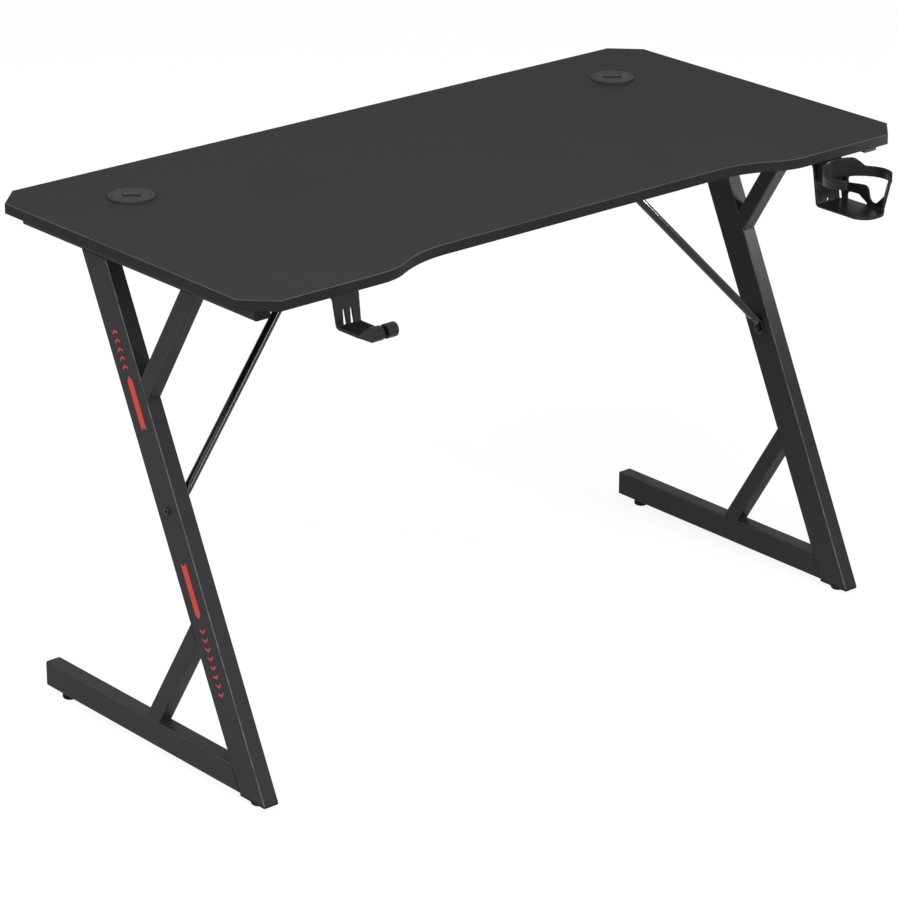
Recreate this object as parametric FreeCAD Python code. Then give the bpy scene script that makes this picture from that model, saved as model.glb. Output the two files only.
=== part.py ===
import FreeCAD, Part
import math
import os

# Gaming desk: a tabletop with a shallow recess for the sitter, on two Z-shaped leg frames of
# welded tube, braced by two round stays. It carries two cable grommets, a headphone hook and a
# cup holder. Lengths are in millimetres and angles in degrees. X runs to the sitter's right,
# Y away from the sitter and Z up from the floor. Places along Y count from the tabletop's middle.

V = FreeCAD.Vector
ORIGIN = V(0, 0, 0)
X_AXIS = V(1, 0, 0)
Y_AXIS = V(0, 1, 0)
Z_AXIS = V(0, 0, 1)

# Tabletop
top_width = 1200.0
top_depth = 600.0
top_height = 739.0
board_thickness = 15.0
band_thickness = 1.0
corner_cut = 40.0
recess_depth = 37.0
recess_mouth_share = 0.65
recess_floor_share = 5 / 12
recess_lip_share = 1 / 3

# Leg frame tubes
tube_width = 25.0
tube_wall = 1.5
tube_corner = 2.5
beam_height = 20.0
beam_rear_inset = 44.0
beam_front_inset = 35.0
leg_inset = 26.0
leg_depth = 50.0
leg_head_inset = 209.0
leg_foot_inset = 62.0
foot_height = 38.0
foot_rear_inset = 57.0
brace_depth = 25.0
brace_lean = 31.6
upper_brace_run = 208.0
lower_brace_run = 226.0

# Plastic end caps of the tubes
cap_flange = 2.0
cap_plug = 15.0
cap_wall = 2.0
plug_clearance = 0.2
leg_lip = 3.0

# Levelling feet
pad_diameter = 22.0
pad_height = 9.0
pad_round = 3.0
pad_floor = 2.5
pad_clearance = 0.1
stud_diameter = 8.0
stud_length = 27.0
stud_head_diameter = 13.0
stud_head_height = 3.0
foot_nut_flats = 13.0
foot_nut_height = 6.5
rear_foot_inset = 40.0
front_foot_run = 1.0

# Stays between the legs and the tabletop
stay_diameter = 13.0
stay_wall = 1.2
stay_tab_thickness = 2.6
stay_tab_width = 19.0
stay_tab_reach = 10.0
stay_flare = 24.0
stay_bolt_height = 378.0
stay_head_run = 323.5
stay_head_y = 4.0

# Machine screws, nuts and the threaded inserts in the board
bolt_diameter = 6.0
bolt_head_diameter = 12.0
bolt_head_height = 3.6
bolt_bite = 10.0
bolt_nut_flats = 10.0
bolt_nut_height = 5.0
bolt_tail = 2.0
insert_diameter = 9.0
insert_length = 12.0
beam_bolt_margin = 40.0
thread_clearance = 0.05
hole_clearance = 0.5

# Wood screws of the hook and the cup holder
screw_diameter = 4.0
screw_head_diameter = 8.0
screw_head_height = 2.4
screw_bite = 11.0

# Cable grommets
grommet_inset = 149.0
grommet_setback = 130.0
grommet_hole_diameter = 60.0
grommet_fit = 0.3
flange_diameter = 66.0
flange_rise = 3.2
flange_round = 1.5
sleeve_wall = 3.5
sleeve_length = 19.0
sleeve_step = 0.7
skirt_depth = 6.0
skirt_wall = 2.3
lid_ledge = 1.4
lid_turn = -38.6
flap_width = 25.2
flap_length = 18.0
flap_thickness = 2.6
flap_gap = 0.4
flap_pin_diameter = 1.4
flap_pin_length = 2.0
flap_ridge = 1.0
flap_ridge_run = 5.0
flap_ledge = 1.6
slot_depth = 6.5
slot_front = 7.2

# Headphone hook and cup holder: both hang from the board's underside at the same setback
accessory_inset = 155.0
accessory_setback = 10.0
accessory_flange = 38.0
accessory_bend = 6.0
arm_bend = 2.5
root_round = 9.0
plate_lean = 9.5
hook_thickness = 4.5
hook_width = 44.0
hook_arm_width = 40.0
hook_drop = 43.0
hook_arm_length = 43.0
hook_bead_diameter = 20.0
hook_bead_run = 67.0
hook_bead_rise = 1.2
hook_notch = 7.0
hook_notch_length = 36.0
hook_slot_foot = 5.8
hook_slot_head = 3.2
hook_slot_pitch = 12.3
hook_slot_length = 21.5
hook_slot_rise = -1.0
hook_screw_pitch = 24.0

# Cup holder: runs count forward from the top of its plate and drops count down from the board
cup_thickness = 4.0
cup_width = 56.5
cup_plate_shift = 0.75
cup_drop = 62.0
cup_base_length = 91.8
cup_base_round = 24.0
cup_ledge_plan = ((0.0, 48.0), (31.0, 56.0), (33.0, 64.0), (32.5, 80.0), (28.5, 90.0), (18.0, 98.0), (0.0, 101.0))
cup_ledge_round = 4.0
cup_wall = 3.0
cup_ring_bore = 94.0
cup_ring_run = 58.0
cup_ring_shift = 3.0
cup_ring_start = -40.0
cup_ring_end = 206.0
cup_ring_high = 0.6
cup_ring_high_run = 20.5
cup_ring_dip_run = 32.5
cup_ring_root = 30.2
cup_right_dip = 12.6
cup_right_front = 6.6
cup_right_tip = 23.0
cup_left_dip = 11.0
cup_left_front = 5.0
cup_left_tip = 17.0
cup_ring_bend = 8.0
cup_bridge_width = 40.0
cup_strut_turn = 13.0
cup_strut_foot_x = 26.0
cup_strut_foot_run = 86.5
cup_strut_foot_scale_share = 1.1
cup_arm_root_x = 25.5
cup_arm_bow_x = 31.5
cup_arm_bow_run = 40.0
cup_arm_foot_x = 28.5
cup_arm_foot_run = 89.0
cup_rim_high = 28.0
cup_rim_run = 18.0
cup_arm_root = 37.5
cup_arm_high = 33.8
cup_arm_high_run = 55.0
cup_arm_valley = 66.0
cup_arm_valley_run = 62.0
cup_arm_rise = 41.0
cup_arm_rise_run = 89.0
cup_arm_low = 51.0
cup_arm_low_run = 37.5
cup_arm_toe_run = 58.0
cup_arm_bend = 10.0
cup_rim_bend = 1.5
cup_window_bend = 5.0
cup_slot_x = 23.2
cup_slot_width = 7.4
cup_slot_length = 14.0
cup_slot_rise = -1.0
cup_hole_x = -4.0
cup_hole_diameter = 5.0
cup_hole_rise = 3.2
cup_screw_pitch = 34.0

# Shared working sizes: how far cuts run past faces, and a span larger than the desk
overrun = 5.0
span = 2 * (top_width + top_depth + top_height)
full_turn = 360

# Levels and faces that several pieces share
board_under = top_height - board_thickness
beam_under = board_under - beam_height
frame_foot = pad_height
foot_top = frame_foot + foot_height
front_edge = -top_depth / 2
rear_edge = top_depth / 2
recess_mouth = top_width * recess_mouth_share
recess_floor = top_width * recess_floor_share
beam_rear_y = rear_edge - beam_rear_inset
beam_front_y = front_edge + beam_front_inset
leg_head_y = rear_edge - leg_head_inset
leg_foot_y = front_edge + leg_foot_inset
foot_rear_y = rear_edge - foot_rear_inset
upper_brace_y = leg_head_y - upper_brace_run
lower_brace_y = leg_foot_y + lower_brace_run
rear_foot_y = foot_rear_y - rear_foot_inset
front_foot_y = leg_foot_y + front_foot_run
stay_head_x = top_width / 2 - leg_inset - tube_width - stay_head_run
grommet_x = top_width / 2 - grommet_inset
grommet_y = rear_edge - grommet_setback
accessory_x = top_width / 2 - accessory_inset
leg_x = -(top_width / 2 - leg_inset - tube_width / 2)
leg_outer_x = leg_x - tube_width / 2
leg_inner_x = leg_x + tube_width / 2
leg_rise = beam_under - frame_foot
leg_lean = math.degrees(math.atan2(leg_head_y - leg_foot_y, leg_rise))
leg_cut_depth = leg_depth / math.cos(math.radians(leg_lean))
brace_cut_depth = brace_depth / math.cos(math.radians(brace_lean))
stay_bolt_y = leg_foot_y + (stay_bolt_height - frame_foot) * (leg_head_y - leg_foot_y) / leg_rise

# The origin stands on the floor under the middle of the desk's bounding box, so the model moves
# back by half of what the cup holder reaches out in front of the tabletop.
plate_top_y = front_edge + accessory_setback
lean_run_share = math.tan(math.radians(plate_lean))
cup_front_y = plate_top_y - cup_drop * lean_run_share - cup_base_length
origin_y = (cup_front_y + rear_edge) / 2


def save(name, *solids):
    """Writes the solids of one node, moved to the desk's origin."""
    shape = solids[0] if len(solids) == 1 else Part.makeCompound(list(solids))
    placed = shape.copy()
    placed.translate(V(0, -origin_y, 0))
    placed.exportStep(os.path.join("parts", name + ".step"))


def mirrored(shape):
    """The same piece on the sitter's other side."""
    return shape.mirror(ORIGIN, X_AXIS)


def save_pair(name, shape):
    """Writes a left piece and its mirror image on the right."""
    save("left_" + name, shape)
    save("right_" + name, mirrored(shape))


def block(x0, x1, y0, y1, z0, z1):
    """Box between two corners."""
    return Part.makeBox(x1 - x0, y1 - y0, z1 - z0, V(x0, y0, z0))


def rod(diameter, start, axis, length):
    """Round bar from a start point along an axis."""
    return Part.makeCylinder(diameter / 2, length, start, axis)


def slab(z0, z1):
    """Everything between two heights."""
    return block(-span / 2, span / 2, -span / 2, span / 2, z0, z1)


def bar(size_x, size_y, corner, length):
    """Straight bar along Z from the origin, with rounded long edges."""
    body = block(-size_x / 2, size_x / 2, -size_y / 2, size_y / 2, 0, length)
    long_edges = [e for e in body.Edges if abs(e.Vertexes[0].Z - e.Vertexes[1].Z) > length / 2]
    return body.makeFillet(corner, long_edges)


def bore_bar(size_x, size_y, inset, length):
    """Bar that fills a tube's bore, drawn in by a further inset on each side."""
    inner_x = size_x - 2 * (tube_wall + inset)
    inner_y = size_y - 2 * (tube_wall + inset)
    return bar(inner_x, inner_y, tube_corner * inner_y / size_y, length)


def tube(size_y, length):
    """Frame tube along Z from the origin, open at both ends."""
    outside = bar(tube_width, size_y, tube_corner, length)
    inside = bore_bar(tube_width, size_y, 0, length + 2 * overrun)
    inside.translate(V(0, 0, -overrun))
    return outside.cut(inside)


def leaned(shape, y, z, lean):
    """Puts a bar's start at a point of the left leg's plane, leaned from upright towards +Y."""
    moved = shape.copy()
    moved.Placement = FreeCAD.Placement(V(leg_x, y, z), FreeCAD.Rotation(X_AXIS, -lean))
    return moved


def leg_side(sign):
    """Everything behind (+1) or in front of (-1) the slanted leg."""
    near = leg_depth / 2 if sign > 0 else -leg_depth / 2 - span
    far = block(-span / 2, span / 2, near, near + span, -span / 2, span / 2)
    return leaned(far, leg_foot_y, frame_foot, leg_lean)


def hexagon(flats, height, centre, axis):
    """Six-sided prism with two flats facing X when its axis is Z."""
    corner = flats / 2 / math.cos(math.radians(30))
    points = []
    for i in range(7):
        angle = math.radians(30 + 60 * i)
        points.append(V(corner * math.cos(angle), corner * math.sin(angle), 0))
    prism = Part.Face(Part.makePolygon(points)).extrude(V(0, 0, height))
    prism.Placement = FreeCAD.Placement(centre, FreeCAD.Rotation(Z_AXIS, axis))
    return prism


def path_edges(points, *radii):
    """Lines through the points, with each corner rounded by a tangent arc: one radius for all or
    one for each."""
    edges = []
    start = points[0]
    corners = len(points) - 2
    bends = radii if len(radii) == corners else radii * corners
    for before, corner, after, radius in zip(points, points[1:], points[2:], bends):
        back = (before - corner).normalize()
        ahead = (after - corner).normalize()
        half_turn = (math.pi - back.getAngle(ahead)) / 2
        setback = radius * math.tan(half_turn)
        bisector = (back + ahead).normalize()
        middle = corner + bisector * (radius / math.cos(half_turn) - radius)
        edges.append(Part.LineSegment(start, corner + back * setback).toShape())
        edges.append(Part.Arc(corner + back * setback, middle, corner + ahead * setback).toShape())
        start = corner + ahead * setback
    edges.append(Part.LineSegment(start, points[-1]).toShape())
    return edges


def bent_strip(points, radii, thickness, width):
    """Sheet of even thickness bent along a path in the YZ plane, centred on X. The path is its
    upper and inner face, and the thickness lies on the far side."""
    path = Part.Wire(path_edges(points, *radii))
    face = path.makeOffset2D(thickness, fill=True, openResult=True)
    if face.BoundBox.ZMax > path.BoundBox.ZMax + thickness / 2:
        face = path.makeOffset2D(-thickness, fill=True, openResult=True)
    solid = face.extrude(V(width, 0, 0))
    solid.translate(V(-width / 2, 0, 0))
    return solid


def profile_yz(points, width):
    """Prism of a YZ outline, centred on X."""
    face = Part.Face(Part.makePolygon(points + points[:1]))
    solid = face.extrude(V(width, 0, 0))
    solid.translate(V(-width / 2, 0, 0))
    return solid


# Tabletop: the laminated board and the plastic band round its edge
def recess_curve(side):
    """The S-shaped end of the recess on one side, from the front edge to the recess's floor."""
    run = (recess_mouth - recess_floor) / 2
    turn = 2 * math.atan2(recess_depth, run)
    total = run / math.sin(turn)
    lip = total * recess_lip_share
    floor = total - lip

    def on_lip(angle):
        return V(side * (recess_mouth / 2 - lip * math.sin(angle)), front_edge + lip * (1 - math.cos(angle)), 0)

    def on_floor(angle):
        y = front_edge + recess_depth - floor * (1 - math.cos(angle))
        return V(side * (recess_floor / 2 + floor * math.sin(angle)), y, 0)

    outer = Part.Arc(on_lip(0), on_lip(turn / 2), on_lip(turn)).toShape()
    inner = Part.Arc(on_floor(turn), on_floor(turn / 2), on_floor(0)).toShape()
    return [outer, inner]


def top_outline():
    """Outline of the tabletop, with cut corners and the front recess."""
    half = top_width / 2
    back = rear_edge
    left = recess_curve(-1)
    right = recess_curve(1)
    corners = [
        V(recess_mouth / 2, front_edge, 0),
        V(half - corner_cut, front_edge, 0),
        V(half, front_edge + corner_cut, 0),
        V(half, back - corner_cut, 0),
        V(half - corner_cut, back, 0),
        V(corner_cut - half, back, 0),
        V(-half, back - corner_cut, 0),
        V(-half, front_edge + corner_cut, 0),
        V(corner_cut - half, front_edge, 0),
        V(-recess_mouth / 2, front_edge, 0),
    ]
    edges = [Part.LineSegment(a, b).toShape() for a, b in zip(corners, corners[1:])]
    floor_left = V(-recess_floor / 2, front_edge + recess_depth, 0)
    floor_right = V(recess_floor / 2, front_edge + recess_depth, 0)
    edges += left + [Part.LineSegment(floor_left, floor_right).toShape()] + right
    return Part.Face(Part.Wire(Part.__sortEdges__(edges)))


def beam_bolt_places():
    """Bolt places along the left top beam: near both ends and between the leg and the brace."""
    leg_front = leg_head_y - leg_cut_depth / 2
    brace_back = upper_brace_y + brace_cut_depth / 2
    rows = [beam_rear_y - beam_bolt_margin, (leg_front + brace_back) / 2, beam_front_y + beam_bolt_margin]
    return [(leg_x, y) for y in rows]


def both_sides(places):
    """Places on the left and their mirror images on the right."""
    return places + [(-x, y) for x, y in places]


def screw_places(x, pitch):
    """A pair of wood screws in the middle of an accessory's flange."""
    y = front_edge + accessory_setback + accessory_flange / 2 + accessory_bend / 2
    return [(x - pitch / 2, y), (x + pitch / 2, y)]


insert_places = both_sides(beam_bolt_places() + [(-stay_head_x, stay_head_y)])
hook_screw_places = screw_places(-accessory_x, hook_screw_pitch)
cup_screw_places = screw_places(accessory_x, cup_screw_pitch)


def make_tabletop():
    """The board with its holes, and the edge band."""
    outline = top_outline()
    core = outline.makeOffset2D(-band_thickness)
    board = core.extrude(V(0, 0, board_thickness))
    band = outline.cut(core).extrude(V(0, 0, board_thickness))
    board.translate(V(0, 0, board_under))
    band.translate(V(0, 0, board_under))
    for side in (-1, 1):
        start = V(side * grommet_x, grommet_y, board_under - overrun)
        board = board.cut(rod(grommet_hole_diameter, start, Z_AXIS, board_thickness + 2 * overrun))
    for x, y in insert_places:
        start = V(x, y, board_under - overrun)
        board = board.cut(rod(insert_diameter, start, Z_AXIS, insert_length + overrun))
    for x, y in hook_screw_places + cup_screw_places:
        start = V(x, y, board_under - overrun)
        board = board.cut(rod(screw_diameter + 2 * thread_clearance, start, Z_AXIS, screw_bite + overrun))
    save("tabletop_board", board)
    save("tabletop_edge_band", band)


# Leg frames: five welded tubes a side
def make_frame():
    """Both leg frames, one node for each tube."""
    beam = tube(beam_height, beam_rear_y - beam_front_y - 2 * cap_flange)
    beam = leaned(beam, beam_front_y + cap_flange, beam_under + beam_height / 2, 90)
    for x, y in beam_bolt_places():
        start = V(x, y, beam_under - overrun)
        beam = beam.cut(rod(bolt_diameter + 2 * hole_clearance, start, Z_AXIS, beam_height + 2 * overrun))

    reach = leg_depth + leg_cut_depth
    lean = math.radians(leg_lean)
    leg = tube(leg_depth, leg_rise / math.cos(lean) + 2 * reach)
    leg = leaned(leg, leg_foot_y - reach * math.sin(lean), frame_foot - reach * math.cos(lean), leg_lean)
    leg = leg.common(slab(frame_foot, beam_under))
    start = V(leg_outer_x - overrun, stay_bolt_y, stay_bolt_height)
    leg = leg.cut(rod(bolt_diameter + 2 * hole_clearance, start, X_AXIS, tube_width + 2 * overrun))

    run = math.tan(math.radians(brace_lean))
    upper = leaned(tube(brace_depth, span), upper_brace_y + span / 2 * run, beam_under - span / 2, -brace_lean)
    upper = upper.common(slab(frame_foot, beam_under)).common(leg_side(-1))
    lower = leaned(tube(brace_depth, span), lower_brace_y + span / 2 * run, foot_top - span / 2, -brace_lean)
    lower = lower.common(slab(foot_top, beam_under)).common(leg_side(1))

    foot = tube(foot_height, foot_rear_y - cap_flange - leg_foot_y)
    foot = leaned(foot, leg_foot_y, frame_foot + foot_height / 2, 90)
    foot = foot.common(leg_side(1))
    start = V(leg_x, rear_foot_y, frame_foot - overrun)
    foot = foot.cut(rod(stud_diameter + 2 * hole_clearance, start, Z_AXIS, tube_wall + 2 * overrun))

    save_pair("top_beam", beam)
    save_pair("slanted_leg", leg)
    save_pair("upper_brace", upper)
    save_pair("lower_brace", lower)
    save_pair("foot_beam", foot)


def end_cap(size_y):
    """Plug cap along Z: its flange covers the tube's end and its hollow plug goes up the bore."""
    flange = bar(tube_width, size_y, tube_corner, cap_flange)
    plug = bore_bar(tube_width, size_y, plug_clearance, cap_flange + cap_plug)
    hollow = bore_bar(tube_width, size_y, plug_clearance + cap_wall, cap_plug + overrun)
    hollow.translate(V(0, 0, cap_flange))
    return flange.fuse(plug).cut(hollow).removeSplitter()


def make_caps():
    """End caps of the top beams, the foot beams and the slanted legs."""
    beam_mid = beam_under + beam_height / 2
    save_pair("top_beam_front_cap", leaned(end_cap(beam_height), beam_front_y, beam_mid, 90))
    save_pair("top_beam_rear_cap", leaned(end_cap(beam_height), beam_rear_y, beam_mid, -90))
    foot_mid = frame_foot + foot_height / 2
    save_pair("foot_rear_cap", leaned(end_cap(foot_height), foot_rear_y, foot_mid, -90))

    lip = leaned(bar(tube_width, leg_cut_depth, tube_corner, leg_lip), leg_foot_y, frame_foot - leg_lip, 0)
    well_diameter = pad_diameter + 2 * hole_clearance
    lip = lip.cut(rod(well_diameter, V(leg_x, front_foot_y, frame_foot - leg_lip - overrun), Z_AXIS, leg_lip + overrun))
    lean = math.radians(leg_lean)
    plug = bore_bar(tube_width, leg_depth, plug_clearance, leg_rise)
    plug = leaned(plug, leg_foot_y - leg_depth * math.sin(lean), frame_foot - leg_depth * math.cos(lean), leg_lean)
    plug = plug.common(slab(frame_foot, frame_foot + cap_plug))
    nut_room = hexagon(foot_nut_flats + 2 * plug_clearance, cap_plug + overrun,
                       V(leg_x, front_foot_y, frame_foot + tube_wall), Z_AXIS)
    stud_room = rod(stud_diameter + 2 * hole_clearance, V(leg_x, front_foot_y, frame_foot - overrun), Z_AXIS,
                    cap_plug + 2 * overrun)
    save_pair("leg_end_cap", lip.fuse(plug).cut(nut_room).cut(stud_room).removeSplitter())


# Levelling feet: a nylon pad that swivels on the head of a threaded stud, and the stud's nut
def levelling_pad(x, y):
    """Round pad with a closed floor and a room for the stud's head."""
    pad = rod(pad_diameter, ORIGIN, Z_AXIS, pad_height)
    low_edge = [e for e in pad.Edges if e.BoundBox.ZMax < pad_height / 2]
    pad = pad.makeFillet(pad_round, low_edge)
    room = rod(stud_head_diameter + 2 * pad_clearance, V(0, 0, pad_floor), Z_AXIS, stud_head_height + pad_clearance)
    neck = rod(stud_diameter + 2 * pad_clearance, V(0, 0, pad_floor), Z_AXIS, pad_height)
    pad = pad.cut(room.fuse(neck))
    pad.translate(V(x, y, 0))
    return pad


def levelling_stud(x, y):
    """Threaded stud with a flat round head."""
    head = rod(stud_head_diameter, V(x, y, pad_floor), Z_AXIS, stud_head_height)
    shank = rod(stud_diameter, V(x, y, pad_floor), Z_AXIS, stud_head_height + stud_length)
    return head.fuse(shank).removeSplitter()


def foot_nut(x, y):
    """Hexagon nut on the bottom wall of the foot beam or in the leg's end cap."""
    centre = V(x, y, frame_foot + tube_wall)
    hole = rod(stud_diameter + 2 * thread_clearance, V(x, y, frame_foot), Z_AXIS, foot_nut_height + 2 * overrun)
    return hexagon(foot_nut_flats, foot_nut_height, centre, Z_AXIS).cut(hole)


def make_feet():
    """Four levelling feet and their nuts."""
    nuts = []
    for row, y in (("rear", rear_foot_y), ("front", front_foot_y)):
        save_pair(row + "_foot_pad", levelling_pad(leg_x, y))
        save_pair(row + "_foot_stud", levelling_stud(leg_x, y))
        nuts += [foot_nut(leg_x, y), foot_nut(-leg_x, y)]
    save("foot_nuts", *nuts)


# Stays: round tubes whose flattened ends are bolted to the legs and the board
def tab(hole, along, normal):
    """Flattened end: a plate with a round end about its hole, reaching along to the bend. Its
    seat is the plane through the hole's mouth and it lies on the normal's side."""
    across = normal.cross(along)
    half = across * (stay_tab_width / 2)
    far = hole + along * stay_tab_reach
    plate = Part.Face(Part.makePolygon([hole - half, far - half, far + half, hole + half, hole - half]))
    plate = plate.extrude(normal * stay_tab_thickness)
    round_end = rod(stay_tab_width, hole, normal, stay_tab_thickness)
    bore = rod(bolt_diameter + 2 * hole_clearance, hole - normal * overrun, normal, stay_tab_thickness + 2 * overrun)
    return plate.fuse(round_end).cut(bore)


def tab_end(hole, along, normal):
    """Rectangle at the bend end of a tab, as corner points, and its middle."""
    across = normal.cross(along)
    middle = hole + along * stay_tab_reach + normal * (stay_tab_thickness / 2)
    w = across * (stay_tab_width / 2)
    n = normal * (stay_tab_thickness / 2)
    return [middle + w + n, middle - w + n, middle - w - n, middle + w - n], across


def flare(hole, along, normal, bend, axis):
    """Transition from a flat tab to the round tube. The axis points into the tube."""
    corners, across = tab_end(hole, along, normal)
    flat = Part.makePolygon(corners + corners[:1])
    centre = bend + axis * stay_flare
    turn = 1 if axis.cross(across).dot(normal) > 0 else -1
    side = (across - axis * across.dot(axis)).normalize()
    up = axis.cross(side) * turn

    def at(degrees):
        angle = math.radians(degrees)
        return centre + side * (stay_diameter / 2 * math.cos(angle)) + up * (stay_diameter / 2 * math.sin(angle))

    arcs = [Part.Arc(at(a), at(a + 45), at(a + 90)).toShape() for a in (45, 135, 225, 315)]
    return Part.makeLoft([Part.Wire(flat.Edges), Part.Wire(arcs)], True, True)


def make_stays():
    """Both stays."""
    low = V(leg_inner_x, stay_bolt_y, stay_bolt_height)
    high = V(-stay_head_x, stay_head_y, board_under)
    way = high - low
    low_along = V(0, way.y, way.z).normalize()
    high_along = V(-way.x, -way.y, 0).normalize()
    low_bend = low + low_along * stay_tab_reach + X_AXIS * (stay_tab_thickness / 2)
    high_bend = high + high_along * stay_tab_reach - Z_AXIS * (stay_tab_thickness / 2)
    axis = (high_bend - low_bend).normalize()
    length = (high_bend - low_bend).Length - 2 * stay_flare
    start = low_bend + axis * stay_flare
    stay = rod(stay_diameter, start, axis, length)
    stay = stay.fuse(flare(low, low_along, X_AXIS, low_bend, axis))
    stay = stay.fuse(flare(high, high_along, -Z_AXIS, high_bend, -axis))
    stay = stay.fuse(tab(low, low_along, X_AXIS)).fuse(tab(high, high_along, -Z_AXIS))
    stay = stay.removeSplitter().cut(rod(stay_diameter - 2 * stay_wall, start, axis, length))
    save_pair("stay", stay)


# Fasteners
def bolt(seat, axis, grip, tail):
    """Round-headed screw: the head sits on the seat and the shank runs along the axis."""
    head = rod(bolt_head_diameter, seat - axis * bolt_head_height, axis, bolt_head_height)
    shank = rod(bolt_diameter, seat - axis * bolt_head_height, axis, bolt_head_height + grip + tail)
    return head.fuse(shank).removeSplitter()


def wood_screw(x, y, seat):
    """Wood screw driven up into the board through an accessory's flange."""
    head = rod(screw_head_diameter, V(x, y, seat - screw_head_height), Z_AXIS, screw_head_height)
    length = board_under + screw_bite - seat
    shank = rod(screw_diameter, V(x, y, seat - screw_head_height), Z_AXIS, screw_head_height + length)
    return head.fuse(shank).removeSplitter()


def make_fasteners():
    """Bolts of the frames and stays, with their nuts and the board's inserts."""
    beam_bolts = []
    for x, y in both_sides(beam_bolt_places()):
        beam_bolts.append(bolt(V(x, y, beam_under), Z_AXIS, beam_height, bolt_bite))
    save("beam_bolts", *beam_bolts)

    inserts = []
    for x, y in insert_places:
        body = rod(insert_diameter, V(x, y, board_under), Z_AXIS, insert_length)
        thread = bolt_diameter + 2 * thread_clearance
        inserts.append(body.cut(rod(thread, V(x, y, board_under - overrun), Z_AXIS, insert_length + 2 * overrun)))
    save("board_inserts", *inserts)

    low = V(leg_outer_x, stay_bolt_y, stay_bolt_height)
    nut_seat = V(leg_inner_x + stay_tab_thickness, stay_bolt_y, stay_bolt_height)
    leg_bolt = bolt(low, X_AXIS, tube_width + stay_tab_thickness, bolt_nut_height + bolt_tail)
    thread = rod(bolt_diameter + 2 * thread_clearance, nut_seat - X_AXIS * overrun, X_AXIS, bolt_nut_height + 2 * overrun)
    nut = hexagon(bolt_nut_flats, bolt_nut_height, nut_seat, X_AXIS).cut(thread)
    save("stay_leg_bolts", leg_bolt, mirrored(leg_bolt))
    save("stay_leg_nuts", nut, mirrored(nut))

    high = V(-stay_head_x, stay_head_y, board_under - stay_tab_thickness)
    top_bolt = bolt(high, Z_AXIS, stay_tab_thickness, bolt_bite)
    save("stay_top_bolts", top_bolt, mirrored(top_bolt))


# Cable grommets: a flanged liner, a lid that turns in it and a hinged flap in the lid
sleeve_radius = grommet_hole_diameter / 2 - grommet_fit
skirt_room_radius = sleeve_radius - sleeve_wall
cable_bore_radius = skirt_room_radius - sleeve_step
seat_radius = skirt_room_radius + lid_ledge
lid_radius = seat_radius - grommet_fit
skirt_radius = skirt_room_radius - grommet_fit
flap_front = slot_depth - slot_front
flap_rear = flap_front + flap_length
flap_axis_y = flap_rear - flap_thickness / 2
flap_axis_z = top_height + flange_rise - flap_thickness / 2


def grommet_liner():
    """Sleeve in the board's hole with a raised flange and a seat for the lid."""
    flange = rod(flange_diameter, V(0, 0, top_height), Z_AXIS, flange_rise)
    high_edge = [e for e in flange.Edges if e.BoundBox.ZMin > top_height + flange_rise / 2]
    flange = flange.makeFillet(flange_round, high_edge)
    sleeve = rod(2 * sleeve_radius, V(0, 0, top_height - sleeve_length), Z_AXIS, sleeve_length)
    body = flange.fuse(sleeve)
    body = body.cut(rod(2 * seat_radius, V(0, 0, top_height), Z_AXIS, flange_rise + overrun))
    room = skirt_depth + grommet_fit
    body = body.cut(rod(2 * skirt_room_radius, V(0, 0, top_height - room), Z_AXIS, room + overrun))
    bore_start = V(0, 0, top_height - sleeve_length - overrun)
    return body.cut(rod(2 * cable_bore_radius, bore_start, Z_AXIS, sleeve_length + overrun)).removeSplitter()


def grommet_lid():
    """Disc with a skirt, a window for the flap, two ledges that stop the flap and the cable slot
    in front of it."""
    lid = rod(2 * lid_radius, V(0, 0, top_height), Z_AXIS, flange_rise)
    skirt = rod(2 * skirt_radius, V(0, 0, top_height - skirt_depth), Z_AXIS, skirt_depth)
    bore_start = V(0, 0, top_height - skirt_depth - overrun)
    skirt = skirt.cut(rod(2 * (skirt_radius - skirt_wall), bore_start, Z_AXIS, skirt_depth + 2 * overrun))
    half = flap_width / 2 + flap_gap
    window = block(-half, half, -slot_front, flap_rear + flap_gap, top_height - overrun, top_height + flange_rise + overrun)
    lid = lid.cut(window).fuse(skirt)
    ledge_top = top_height + flange_rise - flap_thickness
    for inner, outer in ((-half, flap_ledge - half), (half - flap_ledge, half)):
        lid = lid.fuse(block(inner, outer, flap_front, flap_axis_y - flap_thickness, top_height, ledge_top))
    sockets_length = flap_width + 2 * (flap_pin_length + flap_gap)
    start = V(-sockets_length / 2, flap_axis_y, flap_axis_z)
    return lid.cut(rod(flap_pin_diameter + 2 * thread_clearance, start, X_AXIS, sockets_length)).removeSplitter()


def grommet_flap():
    """Hinged flap with two pins, a round rear edge and a low ridge to lift it by."""
    top = top_height + flange_rise
    half = flap_width / 2
    plate = block(-half, half, flap_front, flap_axis_y, top - flap_thickness, top)
    axis_start = V(-half, flap_axis_y, flap_axis_z)
    plate = plate.fuse(rod(flap_thickness, axis_start, X_AXIS, flap_width))
    ridge = profile_yz([V(0, flap_front, top), V(0, flap_front, top + flap_ridge),
                        V(0, flap_front + flap_ridge_run, top)], flap_width)
    pins_length = flap_width + 2 * flap_pin_length
    pins = rod(flap_pin_diameter, V(-pins_length / 2, flap_axis_y, flap_axis_z), X_AXIS, pins_length)
    return plate.fuse(ridge).fuse(pins).removeSplitter()


def make_grommets():
    """Both grommets, with their lids turned alike."""
    for name, x in (("left", -grommet_x), ("right", grommet_x)):
        for piece, shape in (("liner", grommet_liner()), ("lid", grommet_lid()), ("flap", grommet_flap())):
            shape.rotate(ORIGIN, Z_AXIS, lid_turn)
            shape.translate(V(x, grommet_y, 0))
            save(name + "_grommet_" + piece, shape)


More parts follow.
